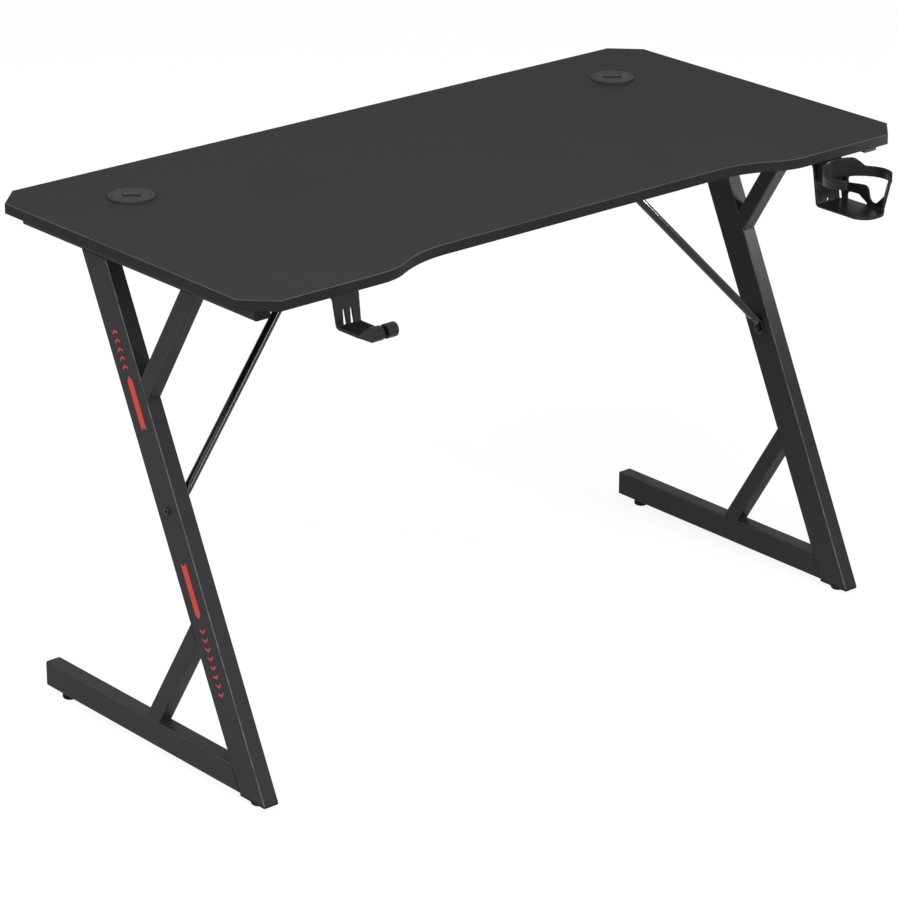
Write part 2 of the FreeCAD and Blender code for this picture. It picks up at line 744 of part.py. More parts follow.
# Accessories under the front edge, drawn at X = 0 and then moved to their places
def plate_point(drop, inside):
    """Point at a drop below the board, so far inside the front face of a leaning plate."""
    return V(0, plate_top_y - drop * lean_run_share + inside, board_under - drop)


def run_point(run, drop):
    """Point at a run forward of the plate's top and a drop below the board."""
    return V(0, plate_top_y - run, board_under - drop)


def hanging_path(drop, forward):
    """Path of a strip from the rear end of its flange, down the leaning plate and forward."""
    low = plate_point(drop, 0)
    return [run_point(-accessory_flange, 0), run_point(0, 0), low, low - V(0, forward, 0)]


def plate_slot(x, foot_width, head_width, drop, rise, length):
    """Upright slot through a plate, a rise above the arm that the plate carries."""
    low = board_under - drop + rise
    high = low + length
    outline = [V(x - foot_width / 2, 0, low), V(x + foot_width / 2, 0, low), V(x + head_width / 2, 0, high),
               V(x - head_width / 2, 0, high)]
    front = plate_point(drop, 0).y - overrun
    slot = Part.Face(Part.makePolygon(outline + outline[:1])).extrude(V(0, plate_top_y + 2 * overrun - front, 0))
    slot.translate(V(0, front, 0))
    return slot


def hanging_strip(drop, forward, thickness, width):
    """Flange, leaning plate and level arm or base of an accessory, thickened behind the upper bend."""
    strip = bent_strip(hanging_path(drop, forward), (accessory_bend, arm_bend), thickness, width)
    corner = plate_point(thickness, thickness / math.cos(math.radians(plate_lean)))
    low = corner + plate_point(drop, 0) - plate_point(0, 0)
    arc = path_edges([low, corner, corner + V(0, accessory_flange, 0)], root_round)[1]
    heart = corner + V(0, -thickness / 2, thickness / 2)
    sides = Part.makePolygon([arc.Vertexes[1].Point, heart, arc.Vertexes[0].Point])
    root = Part.Face(Part.Wire([arc] + sides.Edges)).extrude(V(width, 0, 0))
    root.translate(V(-width / 2, 0, 0))
    return strip.fuse(root).removeSplitter()


def tangent_point(point, centre, radius):
    """Upper point where a line from a point in the YZ plane touches a circle."""
    back = point - centre
    spread = math.degrees(math.acos(radius / back.Length))
    turned = [FreeCAD.Rotation(X_AXIS, side * spread).multVec(back) for side in (-1, 1)]
    upper = max(turned, key=lambda way: way.z)
    return centre + upper.normalize() * radius


def flange_holes(pitch):
    """Clearance holes for a pair of wood screws."""
    holes = []
    for x, y in screw_places(0, pitch):
        start = V(x, y, board_under - 2 * overrun)
        holes.append(rod(screw_diameter + 2 * hole_clearance, start, Z_AXIS, 2 * overrun + board_thickness))
    return holes[0].fuse(holes[1])


def make_hook():
    """Headphone hook: flange, slotted plate, and an arm that rises to a thick round lip with a notch."""
    points = hanging_path(hook_drop, hook_arm_length)
    hook = hanging_strip(hook_drop, hook_arm_length, hook_thickness, hook_width)
    half = hook_width / 2
    narrow = hook_arm_width / 2
    low = board_under - hook_drop
    under = low - hook_thickness
    arm_end = points[-1]
    bead = V(0, points[-2].y - hook_bead_run, under + hook_bead_rise + hook_bead_diameter / 2)
    lip = [arm_end + V(0, overrun, 0), arm_end, tangent_point(arm_end, bead, hook_bead_diameter / 2), bead,
           V(0, bead.y, under + hook_bead_rise), V(0, arm_end.y + overrun, under)]
    hook = hook.fuse(profile_yz(lip, hook_width))
    hook = hook.fuse(rod(hook_bead_diameter, bead - V(half, 0, 0), X_AXIS, hook_width)).removeSplitter()

    outline = [V(-half, 0, board_under), V(half, 0, board_under), V(narrow, 0, low), V(narrow, 0, 0),
               V(-narrow, 0, 0), V(-narrow, 0, low), V(-half, 0, board_under)]
    taper = Part.Face(Part.makePolygon(outline)).extrude(V(0, span, 0))
    taper.translate(V(0, -span / 2, 0))
    hook = hook.common(taper)

    front = bead.y - hook_bead_diameter / 2
    hook = hook.cut(block(-hook_notch / 2, hook_notch / 2, front - overrun, front + hook_notch_length, 0, board_under))
    for side in (-1, 1):
        x = side * hook_slot_pitch / 2
        hook = hook.cut(plate_slot(x, hook_slot_foot, hook_slot_head, hook_drop, hook_slot_rise, hook_slot_length))
    hook = hook.cut(flange_holes(hook_screw_pitch))
    hook.translate(V(-accessory_x, 0, 0))
    save("headphone_hook", hook)
    save("hook_screws", *[wood_screw(x, y, board_under - hook_thickness) for x, y in hook_screw_places])


def cup_ring():
    """Open ring that holds the cup, with its bridge to the plate and the strut at its right tip."""
    centre = V(cup_ring_shift, plate_top_y - cup_ring_run, 0)
    inner = cup_ring_bore / 2
    outer = inner + cup_wall

    def at(degrees, radius, drop):
        angle = math.radians(degrees)
        return centre + V(radius * math.cos(angle), radius * math.sin(angle), board_under - drop)

    def half_view(side, dip, front, tip):
        front_run = cup_ring_run + outer
        high = plate_point(cup_ring_high, cup_thickness / 2)
        upper = path_edges([high, run_point(cup_ring_high_run, cup_ring_high), run_point(cup_ring_dip_run, dip),
                            run_point(front_run, front)], cup_ring_bend)
        lower = [run_point(front_run, front), run_point(front_run, tip),
                 plate_point(cup_ring_root, cup_thickness / 2), high]
        half = Part.Face(Part.Wire(upper + Part.makePolygon(lower).Edges)).extrude(V(side * span, 0, 0))
        half.translate(V(cup_ring_shift, 0, 0))
        return half

    right = half_view(1, cup_right_dip, cup_right_front, cup_right_tip)
    left = half_view(-1, cup_left_dip, cup_left_front, cup_left_tip)

    bore = rod(cup_ring_bore, centre, Z_AXIS, top_height)
    half = cup_bridge_width / 2
    bridge = block(-half, half, centre.y, plate_top_y + cup_thickness, 0, top_height)
    ring = rod(2 * outer, centre, Z_AXIS, top_height).fuse(bridge).cut(bore)
    gap_turn = (cup_ring_start + full_turn - cup_ring_end) / 2
    far = 2 * outer / math.cos(math.radians(gap_turn))
    mouth = [centre, at(cup_ring_end, far, board_under), at(cup_ring_end + gap_turn, far, board_under),
             at(cup_ring_start, far, board_under), centre]
    ring = ring.cut(Part.Face(Part.makePolygon(mouth)).extrude(V(0, 0, top_height)))
    ring = ring.common(right).fuse(ring.common(left)).removeSplitter()

    tip_turn = cup_ring_start + cup_strut_turn
    drop = cup_right_tip - cup_wall
    head = [at(cup_ring_start, inner, drop), at(cup_ring_start, outer, drop), at(tip_turn, outer, drop),
            at(tip_turn, inner, drop)]
    middle = (head[0] + head[1] + head[2] + head[3]) / len(head)
    foot_middle = run_point(cup_strut_foot_run, cup_drop + cup_thickness / 2) + V(cup_strut_foot_x, 0, 0)
    foot = [foot_middle + (corner - middle) * cup_strut_foot_scale_share for corner in head]
    strut = Part.makeLoft([Part.makePolygon(head + head[:1]), Part.makePolygon(foot + foot[:1])], True, True)
    return ring.fuse(strut)


def cup_ledge():
    """Rounded ledge that widens the base under the side arm and the strut."""
    points = [run_point(run, cup_drop) + V(x, 0, 0) for x, run in cup_ledge_plan]
    edges = path_edges(points, cup_ledge_round)
    edges.append(Part.LineSegment(points[-1], points[0]).toShape())
    return Part.Face(Part.Wire(edges)).extrude(V(0, 0, -cup_thickness))


def cup_side_arm():
    """Wall on the right: a rim along the plate under the ring, and a low arm that bows out from it,
    comes down on the base and rises again in a U to the strut."""
    root = plate_point(cup_arm_high, cup_thickness / 2) + V(cup_arm_root_x, 0, 0)
    bow = run_point(cup_arm_bow_run, cup_arm_high) + V(cup_arm_bow_x, 0, 0)
    foot = run_point(cup_arm_foot_run, cup_arm_high) + V(cup_arm_foot_x, 0, 0)
    plan = Part.Wire([Part.Arc(root, bow, foot).toShape()])
    band = plan.makeOffset2D(cup_wall, fill=True, openResult=True)
    band.translate(V(0, 0, cup_arm_high))
    band = band.extrude(V(0, 0, -2 * cup_drop))
    floor = cup_drop + cup_thickness / 2
    heel = plate_point(floor, cup_thickness / 2)
    top = plate_point(cup_rim_high, cup_thickness / 2)
    rise = run_point(cup_arm_rise_run, cup_arm_rise)
    toe = run_point(cup_arm_toe_run, floor)
    rim_foot = run_point(cup_rim_run, floor)
    upper = path_edges([top, run_point(cup_rim_run, cup_rim_high), run_point(cup_rim_run, cup_arm_root),
                        run_point(cup_arm_high_run, cup_arm_high), run_point(cup_arm_valley_run, cup_arm_valley), rise],
                       cup_rim_bend, cup_rim_bend, cup_arm_bend, cup_arm_bend)
    lower = path_edges([toe, run_point(cup_arm_low_run, cup_arm_low), run_point(cup_rim_run, cup_arm_low), rim_foot],
                       cup_arm_bend, cup_window_bend)
    front = Part.makePolygon([rise, run_point(cup_arm_rise_run, floor), toe])
    back = Part.makePolygon([rim_foot, heel, top])
    side_view = Part.Face(Part.Wire(upper + front.Edges + lower + back.Edges)).extrude(V(cup_width, 0, 0))
    return band.common(side_view)


def make_cup_holder():
    """Cup holder: flange, plate with its openings and base, with the ring and the side arm moulded on."""
    holder = hanging_strip(cup_drop, cup_base_length, cup_thickness, cup_width)
    holder.translate(V(cup_plate_shift, 0, 0))
    corners = [e for e in holder.Edges if e.BoundBox.YMax < cup_front_y + overrun and e.BoundBox.XLength < overrun
               and e.BoundBox.ZLength > cup_thickness / 2]
    holder = holder.makeFillet(cup_base_round, corners)
    slot = plate_slot(cup_slot_x, cup_slot_width, cup_slot_width, cup_drop, cup_slot_rise, cup_slot_length)
    holder = holder.cut(slot)
    hole_start = plate_point(cup_drop, -overrun) + V(cup_hole_x, 0, cup_hole_rise)
    holder = holder.cut(rod(cup_hole_diameter, hole_start, Y_AXIS, 2 * (overrun + cup_thickness)))
    holder = holder.cut(flange_holes(cup_screw_pitch)).fuse(cup_ledge())
    holder = holder.fuse(cup_ring()).fuse(cup_side_arm()).removeSplitter()
    holder.translate(V(accessory_x, 0, 0))
    save("cup_holder", holder)
    save("cup_holder_screws", *[wood_screw(x, y, board_under - cup_thickness) for x, y in cup_screw_places])


def main():
    """Builds and writes every piece."""
    os.makedirs("parts", exist_ok=True)
    make_tabletop()
    make_frame()
    make_caps()
    make_feet()
    make_stays()
    make_fasteners()
    make_grommets()
    make_hook()
    make_cup_holder()


main()
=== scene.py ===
"""Gaming desk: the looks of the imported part.

Every mesh is drawn in millimetres in the desk's drawing frame: X to the sitter's right, Y away from
the sitter and counted from the tabletop's middle, Z up from the floor. A piece is brought to metres
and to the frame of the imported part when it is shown.
"""

import logging
import math
from dataclasses import dataclass
from enum import Enum
from typing import ClassVar, Iterable, Sequence

import bmesh
import bpy
from bmesh.types import BMEdge, BMesh, BMFace, BMVert
from mathutils import Matrix, Vector


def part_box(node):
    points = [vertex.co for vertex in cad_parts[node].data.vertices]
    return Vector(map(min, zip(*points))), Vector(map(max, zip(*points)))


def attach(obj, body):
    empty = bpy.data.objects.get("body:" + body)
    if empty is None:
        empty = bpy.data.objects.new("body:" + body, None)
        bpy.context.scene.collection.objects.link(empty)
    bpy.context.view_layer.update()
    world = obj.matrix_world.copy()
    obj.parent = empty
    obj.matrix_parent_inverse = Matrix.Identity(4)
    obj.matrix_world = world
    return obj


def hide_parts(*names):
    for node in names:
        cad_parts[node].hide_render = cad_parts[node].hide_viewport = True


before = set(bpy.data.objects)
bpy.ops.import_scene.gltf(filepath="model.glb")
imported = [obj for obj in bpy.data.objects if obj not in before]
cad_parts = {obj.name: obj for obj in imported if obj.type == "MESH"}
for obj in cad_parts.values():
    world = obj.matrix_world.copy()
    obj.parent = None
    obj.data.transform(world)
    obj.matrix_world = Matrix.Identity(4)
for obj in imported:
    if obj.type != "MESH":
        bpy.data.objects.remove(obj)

LOG = logging.getLogger("gaming_desk")
MM = 0.001
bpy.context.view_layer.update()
ROOT_BODY = "desk"
X_AXIS = Vector((1, 0, 0))
Y_AXIS = Vector((0, 1, 0))
Z_AXIS = Vector((0, 0, 1))
QUARTER = math.pi / 2
BAND_LOW, BAND_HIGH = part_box("tabletop_edge_band")
DESK_MIDDLE = (BAND_LOW.y + BAND_HIGH.y) / 2 / MM

Tone = tuple[int, int, int]
Point = Sequence[float]
Plane = tuple[Point, Vector]
Socket = bpy.types.NodeSocket
Inputs = dict[str | int, object]


class Side(Enum):
    """The sitter's left or right, as the sign of X."""

    LEFT = -1
    RIGHT = 1

    @property
    def word(self) -> str:
        """The side's name as it stands in the names of pieces."""
        return self.name.lower()


class Relief(Enum):
    """The small surface pattern of a finish."""

    PEBBLE = "pebble"
    ORANGE_PEEL = "orange peel"
    SPARK = "spark"
    BRUSHED = "brushed"
    SCREEN = "screen"


class Drive(Enum):
    """The recess in a screw's head."""

    HEX = "hex"
    CROSS = "cross"


# Finishes


def linear(tone: Tone) -> tuple[float, float, float, float]:
    """Linear colour of a tone.

    Args:
        tone: red, green and blue in steps from 0 to 255.

    Returns:
        The linear colour, with full opacity.
    """
    shares = [step / 255 for step in tone]
    steps = [s / 12.92 if s <= 0.04045 else ((s + 0.055) / 1.055) ** 2.4 for s in shares]
    return (steps[0], steps[1], steps[2], 1.0)


class Graph:
    """Node tree that grows node by node."""

    def __init__(self, tree: bpy.types.NodeTree) -> None:
        """Starts on a tree."""
        self.tree = tree

    def feed(self, node: bpy.types.Node, inputs: Inputs) -> None:
        """Links each input to another node's output, or sets its own value.

        Args:
            node: node that is fed.
            inputs: output or value for each input, by name or number.
        """
        for socket, value in inputs.items():
            if isinstance(value, Socket):
                self.tree.links.new(value, node.inputs[socket])
            else:
                node.inputs[socket].default_value = value

    def node(self, kind: str, output: str | int, inputs: Inputs, **settings: str) -> Socket:
        """Adds a node.

        Args:
            kind: type of the node, without its prefix.
            output: name or number of the output that is used.
            inputs: output or value for each input, by name or number.
            settings: choices of the node itself.

        Returns:
            The output.
        """
        node = self.tree.nodes.new(f"ShaderNode{kind}")
        for name, choice in settings.items():
            setattr(node, name, choice)
        self.feed(node, inputs)
        return node.outputs[output]


class FinishGraph(Graph):
    """Node tree of one finish, on object coordinates."""

    def __init__(self, name: str) -> None:
        """Starts a material with its shader and its coordinates.

        Args:
            name: name of the material.
        """
        self.material = bpy.data.materials.new(name)
        self.material.use_nodes = True
        super().__init__(self.material.node_tree)
        self.shader = self.tree.nodes["Principled BSDF"]
        self.place = self.node("TexCoord", "Object", {})

    def noise(self, size: float, detail: float, stretch: Point = (1, 1, 1)) -> Socket:
        """Cloudy pattern around a half, of a size in millimetres, with each axis scaled before it."""
        place = self.node("Mapping", "Vector", {"Vector": self.place, "Scale": stretch})
        return self.node("TexNoise", "Fac", {"Vector": place, "Scale": 1 / (size * MM), "Detail": detail})

    def cells(self, size: float) -> Socket:
        """Rounded cells of a size in millimetres, as the distance from their middles."""
        inputs = {"Vector": self.place, "Scale": 1 / (size * MM)}
        return self.node("TexVoronoi", "Distance", inputs, feature="SMOOTH_F1")

    def span(self, value: Socket, low: float, high: float, start: float = 0.3, end: float = 0.7) -> Socket:
        """A value's range from start to end, laid onto low to high."""
        inputs = {"Value": value, "From Min": start, "From Max": end, "To Min": low, "To Max": high}
        return self.node("MapRange", "Result", inputs)

    def math(self, operation: str, first: object, second: object) -> Socket:
        """Sum, product or other operation on two values."""
        return self.node("Math", "Value", {0: first, 1: second}, operation=operation)

    def mix(self, share: Socket, first: object, second: object) -> Socket:
        """Colour between two colours."""
        return self.node("Mix", 2, {"Factor": share, 6: first, 7: second}, data_type="RGBA")

    def bump(self, height: Socket, depth: float) -> Socket:
        """Normal for a height pattern whose full range is a depth in millimetres."""
        return self.node("Bump", "Normal", {"Height": height, "Distance": depth * MM})


@dataclass(frozen=True)
class Finish:
    """A surface finish: two tones that vary over the surface, a range of roughness and a relief."""

    name: str
    slot: str
    dark: Tone
    light: Tone
    roughness: tuple[float, float]
    relief: Relief
    grain: float
    depth: float
    patch: float = 70.0
    specular: float = 0.25
    metallic: float = 0.0
    made: ClassVar[dict[str, bpy.types.Material]] = {}
    pebble_cloud: ClassVar[float] = 3.0
    peel_wave: ClassVar[float] = 6.0
    brush_stretch: ClassVar[Point] = (1, 1, 0.12)
    patch_share: ClassVar[float] = 0.6

    def height(self, graph: FinishGraph) -> Socket:
        """Height pattern of the relief.

        Args:
            graph: node tree of the finish.

        Returns:
            The height.
        """
        if self.relief is Relief.PEBBLE:
            return graph.math("ADD", graph.cells(self.grain), graph.noise(self.grain * self.pebble_cloud, detail=3.0))
        if self.relief is Relief.ORANGE_PEEL:
            wave = graph.noise(self.grain * self.peel_wave, detail=1.0)
            return graph.math("ADD", graph.noise(self.grain, detail=1.0), wave)
        if self.relief is Relief.BRUSHED:
            return graph.noise(self.grain, detail=2.0, stretch=self.brush_stretch)
        if self.relief is Relief.SCREEN:
            return graph.cells(self.grain)
        return graph.noise(self.grain, detail=4.0)

    def tone(self, graph: FinishGraph, slow: Socket, fine: Socket) -> Socket:
        """Colour of the surface.

        Args:
            graph: node tree of the finish.
            slow: slow change of tone over the surface.
            fine: height of the relief.

        Returns:
            The colour.
        """
        patches = graph.math("MULTIPLY", slow, self.patch_share)
        share = graph.math("ADD", patches, graph.math("MULTIPLY", fine, 1 - self.patch_share))
        return graph.mix(graph.span(share, 0.0, 1.0), linear(self.dark), linear(self.light))

    def make(self) -> bpy.types.Material:
        """The finish as a material, made once.

        Returns:
            The material.
        """
        if self.name not in self.made:
            graph = FinishGraph(self.name)
            slow = graph.noise(self.patch, detail=4.0)
            fine = self.height(graph)
            graph.feed(graph.shader, {"Base Color": self.tone(graph, slow, fine),
                                      "Roughness": graph.span(slow, *self.roughness),
                                      "Normal": graph.bump(fine, self.depth),
                                      "Specular IOR Level": self.specular, "Metallic": self.metallic})
            self.made[self.name] = graph.material
        return self.made[self.name]


@dataclass(frozen=True)
class ArrisHighlightFinish(Finish):
    """Edge band finish with a painted highlight: paler along its top arris, where the rounding would catch the light.
    """

    # pale tone of the highlight painted along the top arris, and the heights it covers
    arris: Tone = (100, 100, 104)
    arris_from: float = 738.1
    arris_to: float = 738.9
    wear: tuple[float, float] = (0.45, 1.0)

    def tone(self, graph: FinishGraph, slow: Socket, fine: Socket) -> Socket:
        """Colour of the band with a highlight painted along its top arris.

        Args:
            graph: node tree of the finish.
            slow: slow change of tone over the surface.
            fine: height of the relief.

        Returns:
            The colour.
        """
        height = graph.node("SeparateXYZ", "Z", {"Vector": graph.place})
        share = graph.span(height, 0.0, 1.0, self.arris_from * MM, self.arris_to * MM)
        # painted highlight: pale tone on the top arris, patchy along the band
        painted_highlight = graph.math("MULTIPLY", share, graph.span(slow, *self.wear))
        return graph.mix(painted_highlight, super().tone(graph, slow, fine), linear(self.arris))


@dataclass(frozen=True)
class CornerHighlightFinish(Finish):
    """Coat with a highlight painted paler along a tube's corners, as far as the mesh's own attribute says."""

    # pale tone of the highlight painted along tube corners, patchy over the coat
    highlight_tone: Tone = (158, 158, 164)
    attribute: str = "painted_highlight"
    wear: tuple[float, float] = (0.25, 0.9)
    wear_patch: float = 14.0

    def tone(self, graph: FinishGraph, slow: Socket, fine: Socket) -> Socket:
        """Colour of the coat with the highlight painted along its corners.

        Args:
            graph: node tree of the finish.
            slow: slow change of tone over the surface.
            fine: height of the relief.

        Returns:
            The colour.
        """
        corner = graph.node("Attribute", "Fac", {}, attribute_name=self.attribute)
        wear = graph.span(graph.noise(self.wear_patch, detail=3.0), *self.wear)
        share = graph.math("MULTIPLY", corner, wear)
        return graph.mix(share, super().tone(graph, slow, fine), linear(self.highlight_tone))


LAMINATE = Finish("dark_laminate", "laminate_board", (42, 42, 45), (51, 51, 54), (0.59, 0.62), Relief.PEBBLE,
                  0.9, 0.09, patch=160.0, specular=0.02)
# edge band with a highlight painted on its top arris
EDGE_BAND = ArrisHighlightFinish("edge_band_painted_highlight", "edge_band", (37, 37, 40), (43, 43, 46), (0.42, 0.55), Relief.SPARK,
                        0.5, 0.02, specular=0.04)
# powder coat with a highlight painted along the tubes' corners
POWDER_COAT = CornerHighlightFinish("black_powder_coat", "frame_coat", (40, 39, 41), (49, 48, 50), (0.4, 0.52),
                         Relief.ORANGE_PEEL, 0.7, 0.03, specular=0.08)
GLOSS_COAT = Finish("gloss_black_coat", "stay_coat", (14, 14, 15), (20, 20, 21), (0.1, 0.16), Relief.ORANGE_PEEL,
                    1.4, 0.004, specular=0.35)
CAP_PLASTIC = Finish("black_cap_plastic", "cap_plastic", (28, 28, 30), (36, 36, 38), (0.42, 0.55), Relief.SPARK,
                     0.35, 0.02, specular=0.08)
PAD_NYLON = Finish("black_pad_nylon", "pad_nylon", (20, 20, 21), (30, 30, 31), (0.5, 0.65), Relief.SPARK,
                   0.5, 0.04, specular=0.08)
GROMMET_PLASTIC = Finish("dark_grommet_plastic", "grommet_plastic", (46, 46, 48), (54, 54, 56), (0.4, 0.52),
                         Relief.SPARK, 0.4, 0.025, specular=0.04)
ACCESSORY_PLASTIC = Finish("satin_black_plastic", "accessory_plastic", (19, 19, 21), (27, 27, 30), (0.3, 0.42),
                           Relief.SPARK, 0.4, 0.02, specular=0.2)
BLACK_STEEL = Finish("black_oxide_steel", "black_steel", (20, 20, 21), (34, 34, 36), (0.28, 0.42), Relief.BRUSHED,
                     0.3, 0.015, specular=0.4, metallic=0.4)
ZINC_STEEL = Finish("bright_zinc_steel", "zinc_steel", (150, 152, 158), (186, 187, 190), (0.25, 0.4),
                    Relief.BRUSHED, 0.3, 0.015, specular=0.5, metallic=1.0)
RED_INK = Finish("red_screen_ink", "frame_coat", (196, 56, 50), (218, 70, 62), (0.4, 0.55), Relief.SCREEN,
                 0.6, 0.01, patch=9.0, specular=0.2)


# Mesh tools: every length is in millimetres

MERGE = 0.01
NEAR = 0.1
FLAT_DEGREES = 1.0
ROUND_CREASE = 60.0
THREAD_FLANK = 0.4


def round_over(bm: BMesh, edges: Sequence[BMEdge], width: float, segments: int = 1, clamp: bool = True) -> None:
    """Rounds edges by a width in so many segments."""
    bmesh.ops.bevel(bm, geom=edges, offset=width, offset_type="OFFSET", segments=segments, profile=0.5,
                    affect="EDGES", material=-1, clamp_overlap=clamp)


def upright_edges(bm: BMesh) -> list[BMEdge]:
    """Edges that run along Z."""
    return [e for e in bm.edges if (e.verts[1].co - e.verts[0].co).to_2d().length < MERGE]


def sharp_edges(bm: BMesh, degrees: float = 60.0) -> list[BMEdge]:
    """Edges whose faces turn by more than an angle."""
    return [e for e in bm.edges if len(e.link_faces) == 2 and e.calc_face_angle() > math.radians(degrees)]


def rim_edges(bm: BMesh, radius: float) -> list[BMEdge]:
    """Sharp edges that lie no nearer to Z than a radius."""
    return [e for e in sharp_edges(bm) if min(v.co.to_2d().length for v in e.verts) > radius - NEAR]


def edges_at(verts: Iterable[BMVert]) -> list[BMEdge]:
    """Edges that meet some vertices."""
    return list({edge for vert in verts for edge in vert.link_edges})


def moved(bm: BMesh, matrix: Matrix) -> BMesh:
    """The whole mesh, after a transform."""
    bmesh.ops.transform(bm, matrix=matrix, verts=bm.verts)
    return bm


def as_mesh(bm: BMesh, name: str) -> bpy.types.Mesh:
    """Stores a drawn mesh.

    Args:
        bm: the drawn mesh, which is freed.
        name: name of the stored mesh.

    Returns:
        The stored mesh.
    """
    mesh = bpy.data.meshes.new(name)
    bm.to_mesh(mesh)
    bm.free()
    return mesh


def add_object(name: str, data: bpy.types.ID) -> bpy.types.Object:
    """Adds an object to the scene.

    Args:
        name: name of the object.
        data: its mesh, lamp or camera.

    Returns:
        The object.
    """
    item = bpy.data.objects.new(name, data)
    bpy.context.scene.collection.objects.link(item)
    return item


def take_in(bm: BMesh, other: BMesh) -> None:
    """Adds one mesh to another.

    Args:
        bm: mesh that grows.
        other: mesh that is added, and freed.
    """
    store = as_mesh(other, "store")
    bm.from_mesh(store)
    bpy.data.meshes.remove(store)


def chain(bm: BMesh, start: BMVert, points: Iterable[Point]) -> BMVert:
    """Draws lines from a vertex through points.

    Args:
        bm: mesh to draw in.
        start: first vertex.
        points: points to reach in order.

    Returns:
        The last vertex.
    """
    for point in points:
        end = bm.verts.new(point)
        bm.edges.new((start, end))
        start = end
    return start


def swing(bm: BMesh, start: BMVert, centre: Point, angle: float, steps: int) -> BMVert:
    """The last vertex of an arc, drawn from a vertex about an upright axis, to the left if positive."""
    swept = bmesh.ops.spin(bm, geom=[start], cent=centre, axis=Z_AXIS, angle=angle, steps=steps)
    return next(item for item in swept["geom_last"] if isinstance(item, BMVert))


def lathe(profile: Sequence[tuple[float, float]], steps: int, closed: bool = False) -> BMesh:
    """Turned shape about Z.

    Args:
        profile: radius and height of each corner.
        steps: number of sides.
        closed: whether the profile's last corner joins its first.

    Returns:
        The turned mesh, with its poles merged.
    """
    bm = bmesh.new()
    first = bm.verts.new((profile[0][0], 0, profile[0][1]))
    last = chain(bm, first, [(radius, 0, height) for radius, height in profile[1:]])
    if closed:
        bm.edges.new((last, first))
    bmesh.ops.spin(bm, geom=bm.verts[:] + bm.edges[:], cent=(0, 0, 0), axis=Z_AXIS, angle=math.tau,
                   steps=steps, use_merge=True)
    bmesh.ops.remove_doubles(bm, verts=bm.verts, dist=MERGE)
    bmesh.ops.recalc_face_normals(bm, faces=bm.faces)
    return bm


def ridges(core: float, radius: float, start: float, pitch: float, turns: int,
           crest: float) -> list[tuple[float, float]]:
    """A thread's profile as radius and height, with its crest's end as a share of the pitch."""
    corners = ((core, 0.0), (radius, THREAD_FLANK), (radius, crest))
    return [(size, start + pitch * (turn + share)) for turn in range(turns) for size, share in corners]


def thicken(bm: BMesh, height: Vector) -> None:
    """Makes a flat mesh a solid.

    Args:
        bm: the flat mesh.
        height: way from the flat mesh to its copy on the other side.
    """
    grown = bmesh.ops.extrude_face_region(bm, geom=bm.faces[:])["geom"]
    bmesh.ops.translate(bm, vec=height, verts=[item for item in grown if isinstance(item, BMVert)])
    bmesh.ops.recalc_face_normals(bm, faces=bm.faces)


def plain_copy(node: str) -> BMesh:
    """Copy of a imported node.

    Args:
        node: name of the node.

    Returns:
        The copy, merged and brought to the drawing frame.
    """
    bm = bmesh.new()
    bm.from_mesh(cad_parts[node].data)
    bmesh.ops.scale(bm, vec=(1 / MM, 1 / MM, 1 / MM), verts=bm.verts)
    bmesh.ops.translate(bm, vec=(0, -DESK_MIDDLE, 0), verts=bm.verts)
    bmesh.ops.remove_doubles(bm, verts=bm.verts, dist=MERGE)
    return bm


def softened_copy(node: str, width: float, segments: int = 2, degrees: float = 32.0) -> BMesh:
    """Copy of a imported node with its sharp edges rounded.

    Args:
        node: name of the node.
        width: width of the rounding.
        segments: number of faces across a rounding.
        degrees: edges that turn by more than this are rounded.

    Returns:
        The copy, in the drawing frame.
    """
    bm = plain_copy(node)
    bmesh.ops.dissolve_limit(bm, angle_limit=math.radians(FLAT_DEGREES), verts=bm.verts, edges=bm.edges)
    round_over(bm, sharp_edges(bm, degrees), width, segments, clamp=False)
    return bm


def to_side(bm: BMesh, side: Side) -> BMesh:
    """Turns a left piece into its mirror image for the right.

    Args:
        bm: the left piece.
        side: side that it is for.

    Returns:
        The piece for that side.
    """
    if side is Side.RIGHT:
        bmesh.ops.scale(bm, vec=(-1, 1, 1), verts=bm.verts)
        bmesh.ops.reverse_faces(bm, faces=bm.faces)
    return bm


def show(bm: BMesh, name: str, finish: Finish, nodes: Sequence[str] = (), body: str = ROOT_BODY,
         crease: float = 36.0) -> None:
    """Makes a finished mesh a piece of the desk.

    Args:
        bm: mesh in the drawing frame, which is freed.
        name: name of the piece.
        finish: its surface finish.
        nodes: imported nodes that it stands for.
        body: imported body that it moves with.
        crease: edges that turn by more than this many degrees stay sharp.
    """
    bmesh.ops.translate(bm, vec=(0, DESK_MIDDLE, 0), verts=bm.verts)
    bmesh.ops.scale(bm, vec=(MM, MM, MM), verts=bm.verts)
    for face in bm.faces:
        face.smooth = True
        face.material_index = 0
    mesh = as_mesh(bm, name)
    stale = mesh.attributes.get("custom_normal")
    if stale:
        mesh.attributes.remove(stale)
    mesh.set_sharp_from_angle(angle=math.radians(crease))
    mesh.materials.append(finish.make())
    piece = add_object(name, mesh)
    weighted = piece.modifiers.new("flat_faces_stay_flat", "WEIGHTED_NORMAL")
    weighted.keep_sharp = True
    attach(piece, body)
    if nodes:
        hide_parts(*nodes)
    LOG.info("piece %s: %d faces, on %s", name, len(mesh.polygons), body)


# The desk


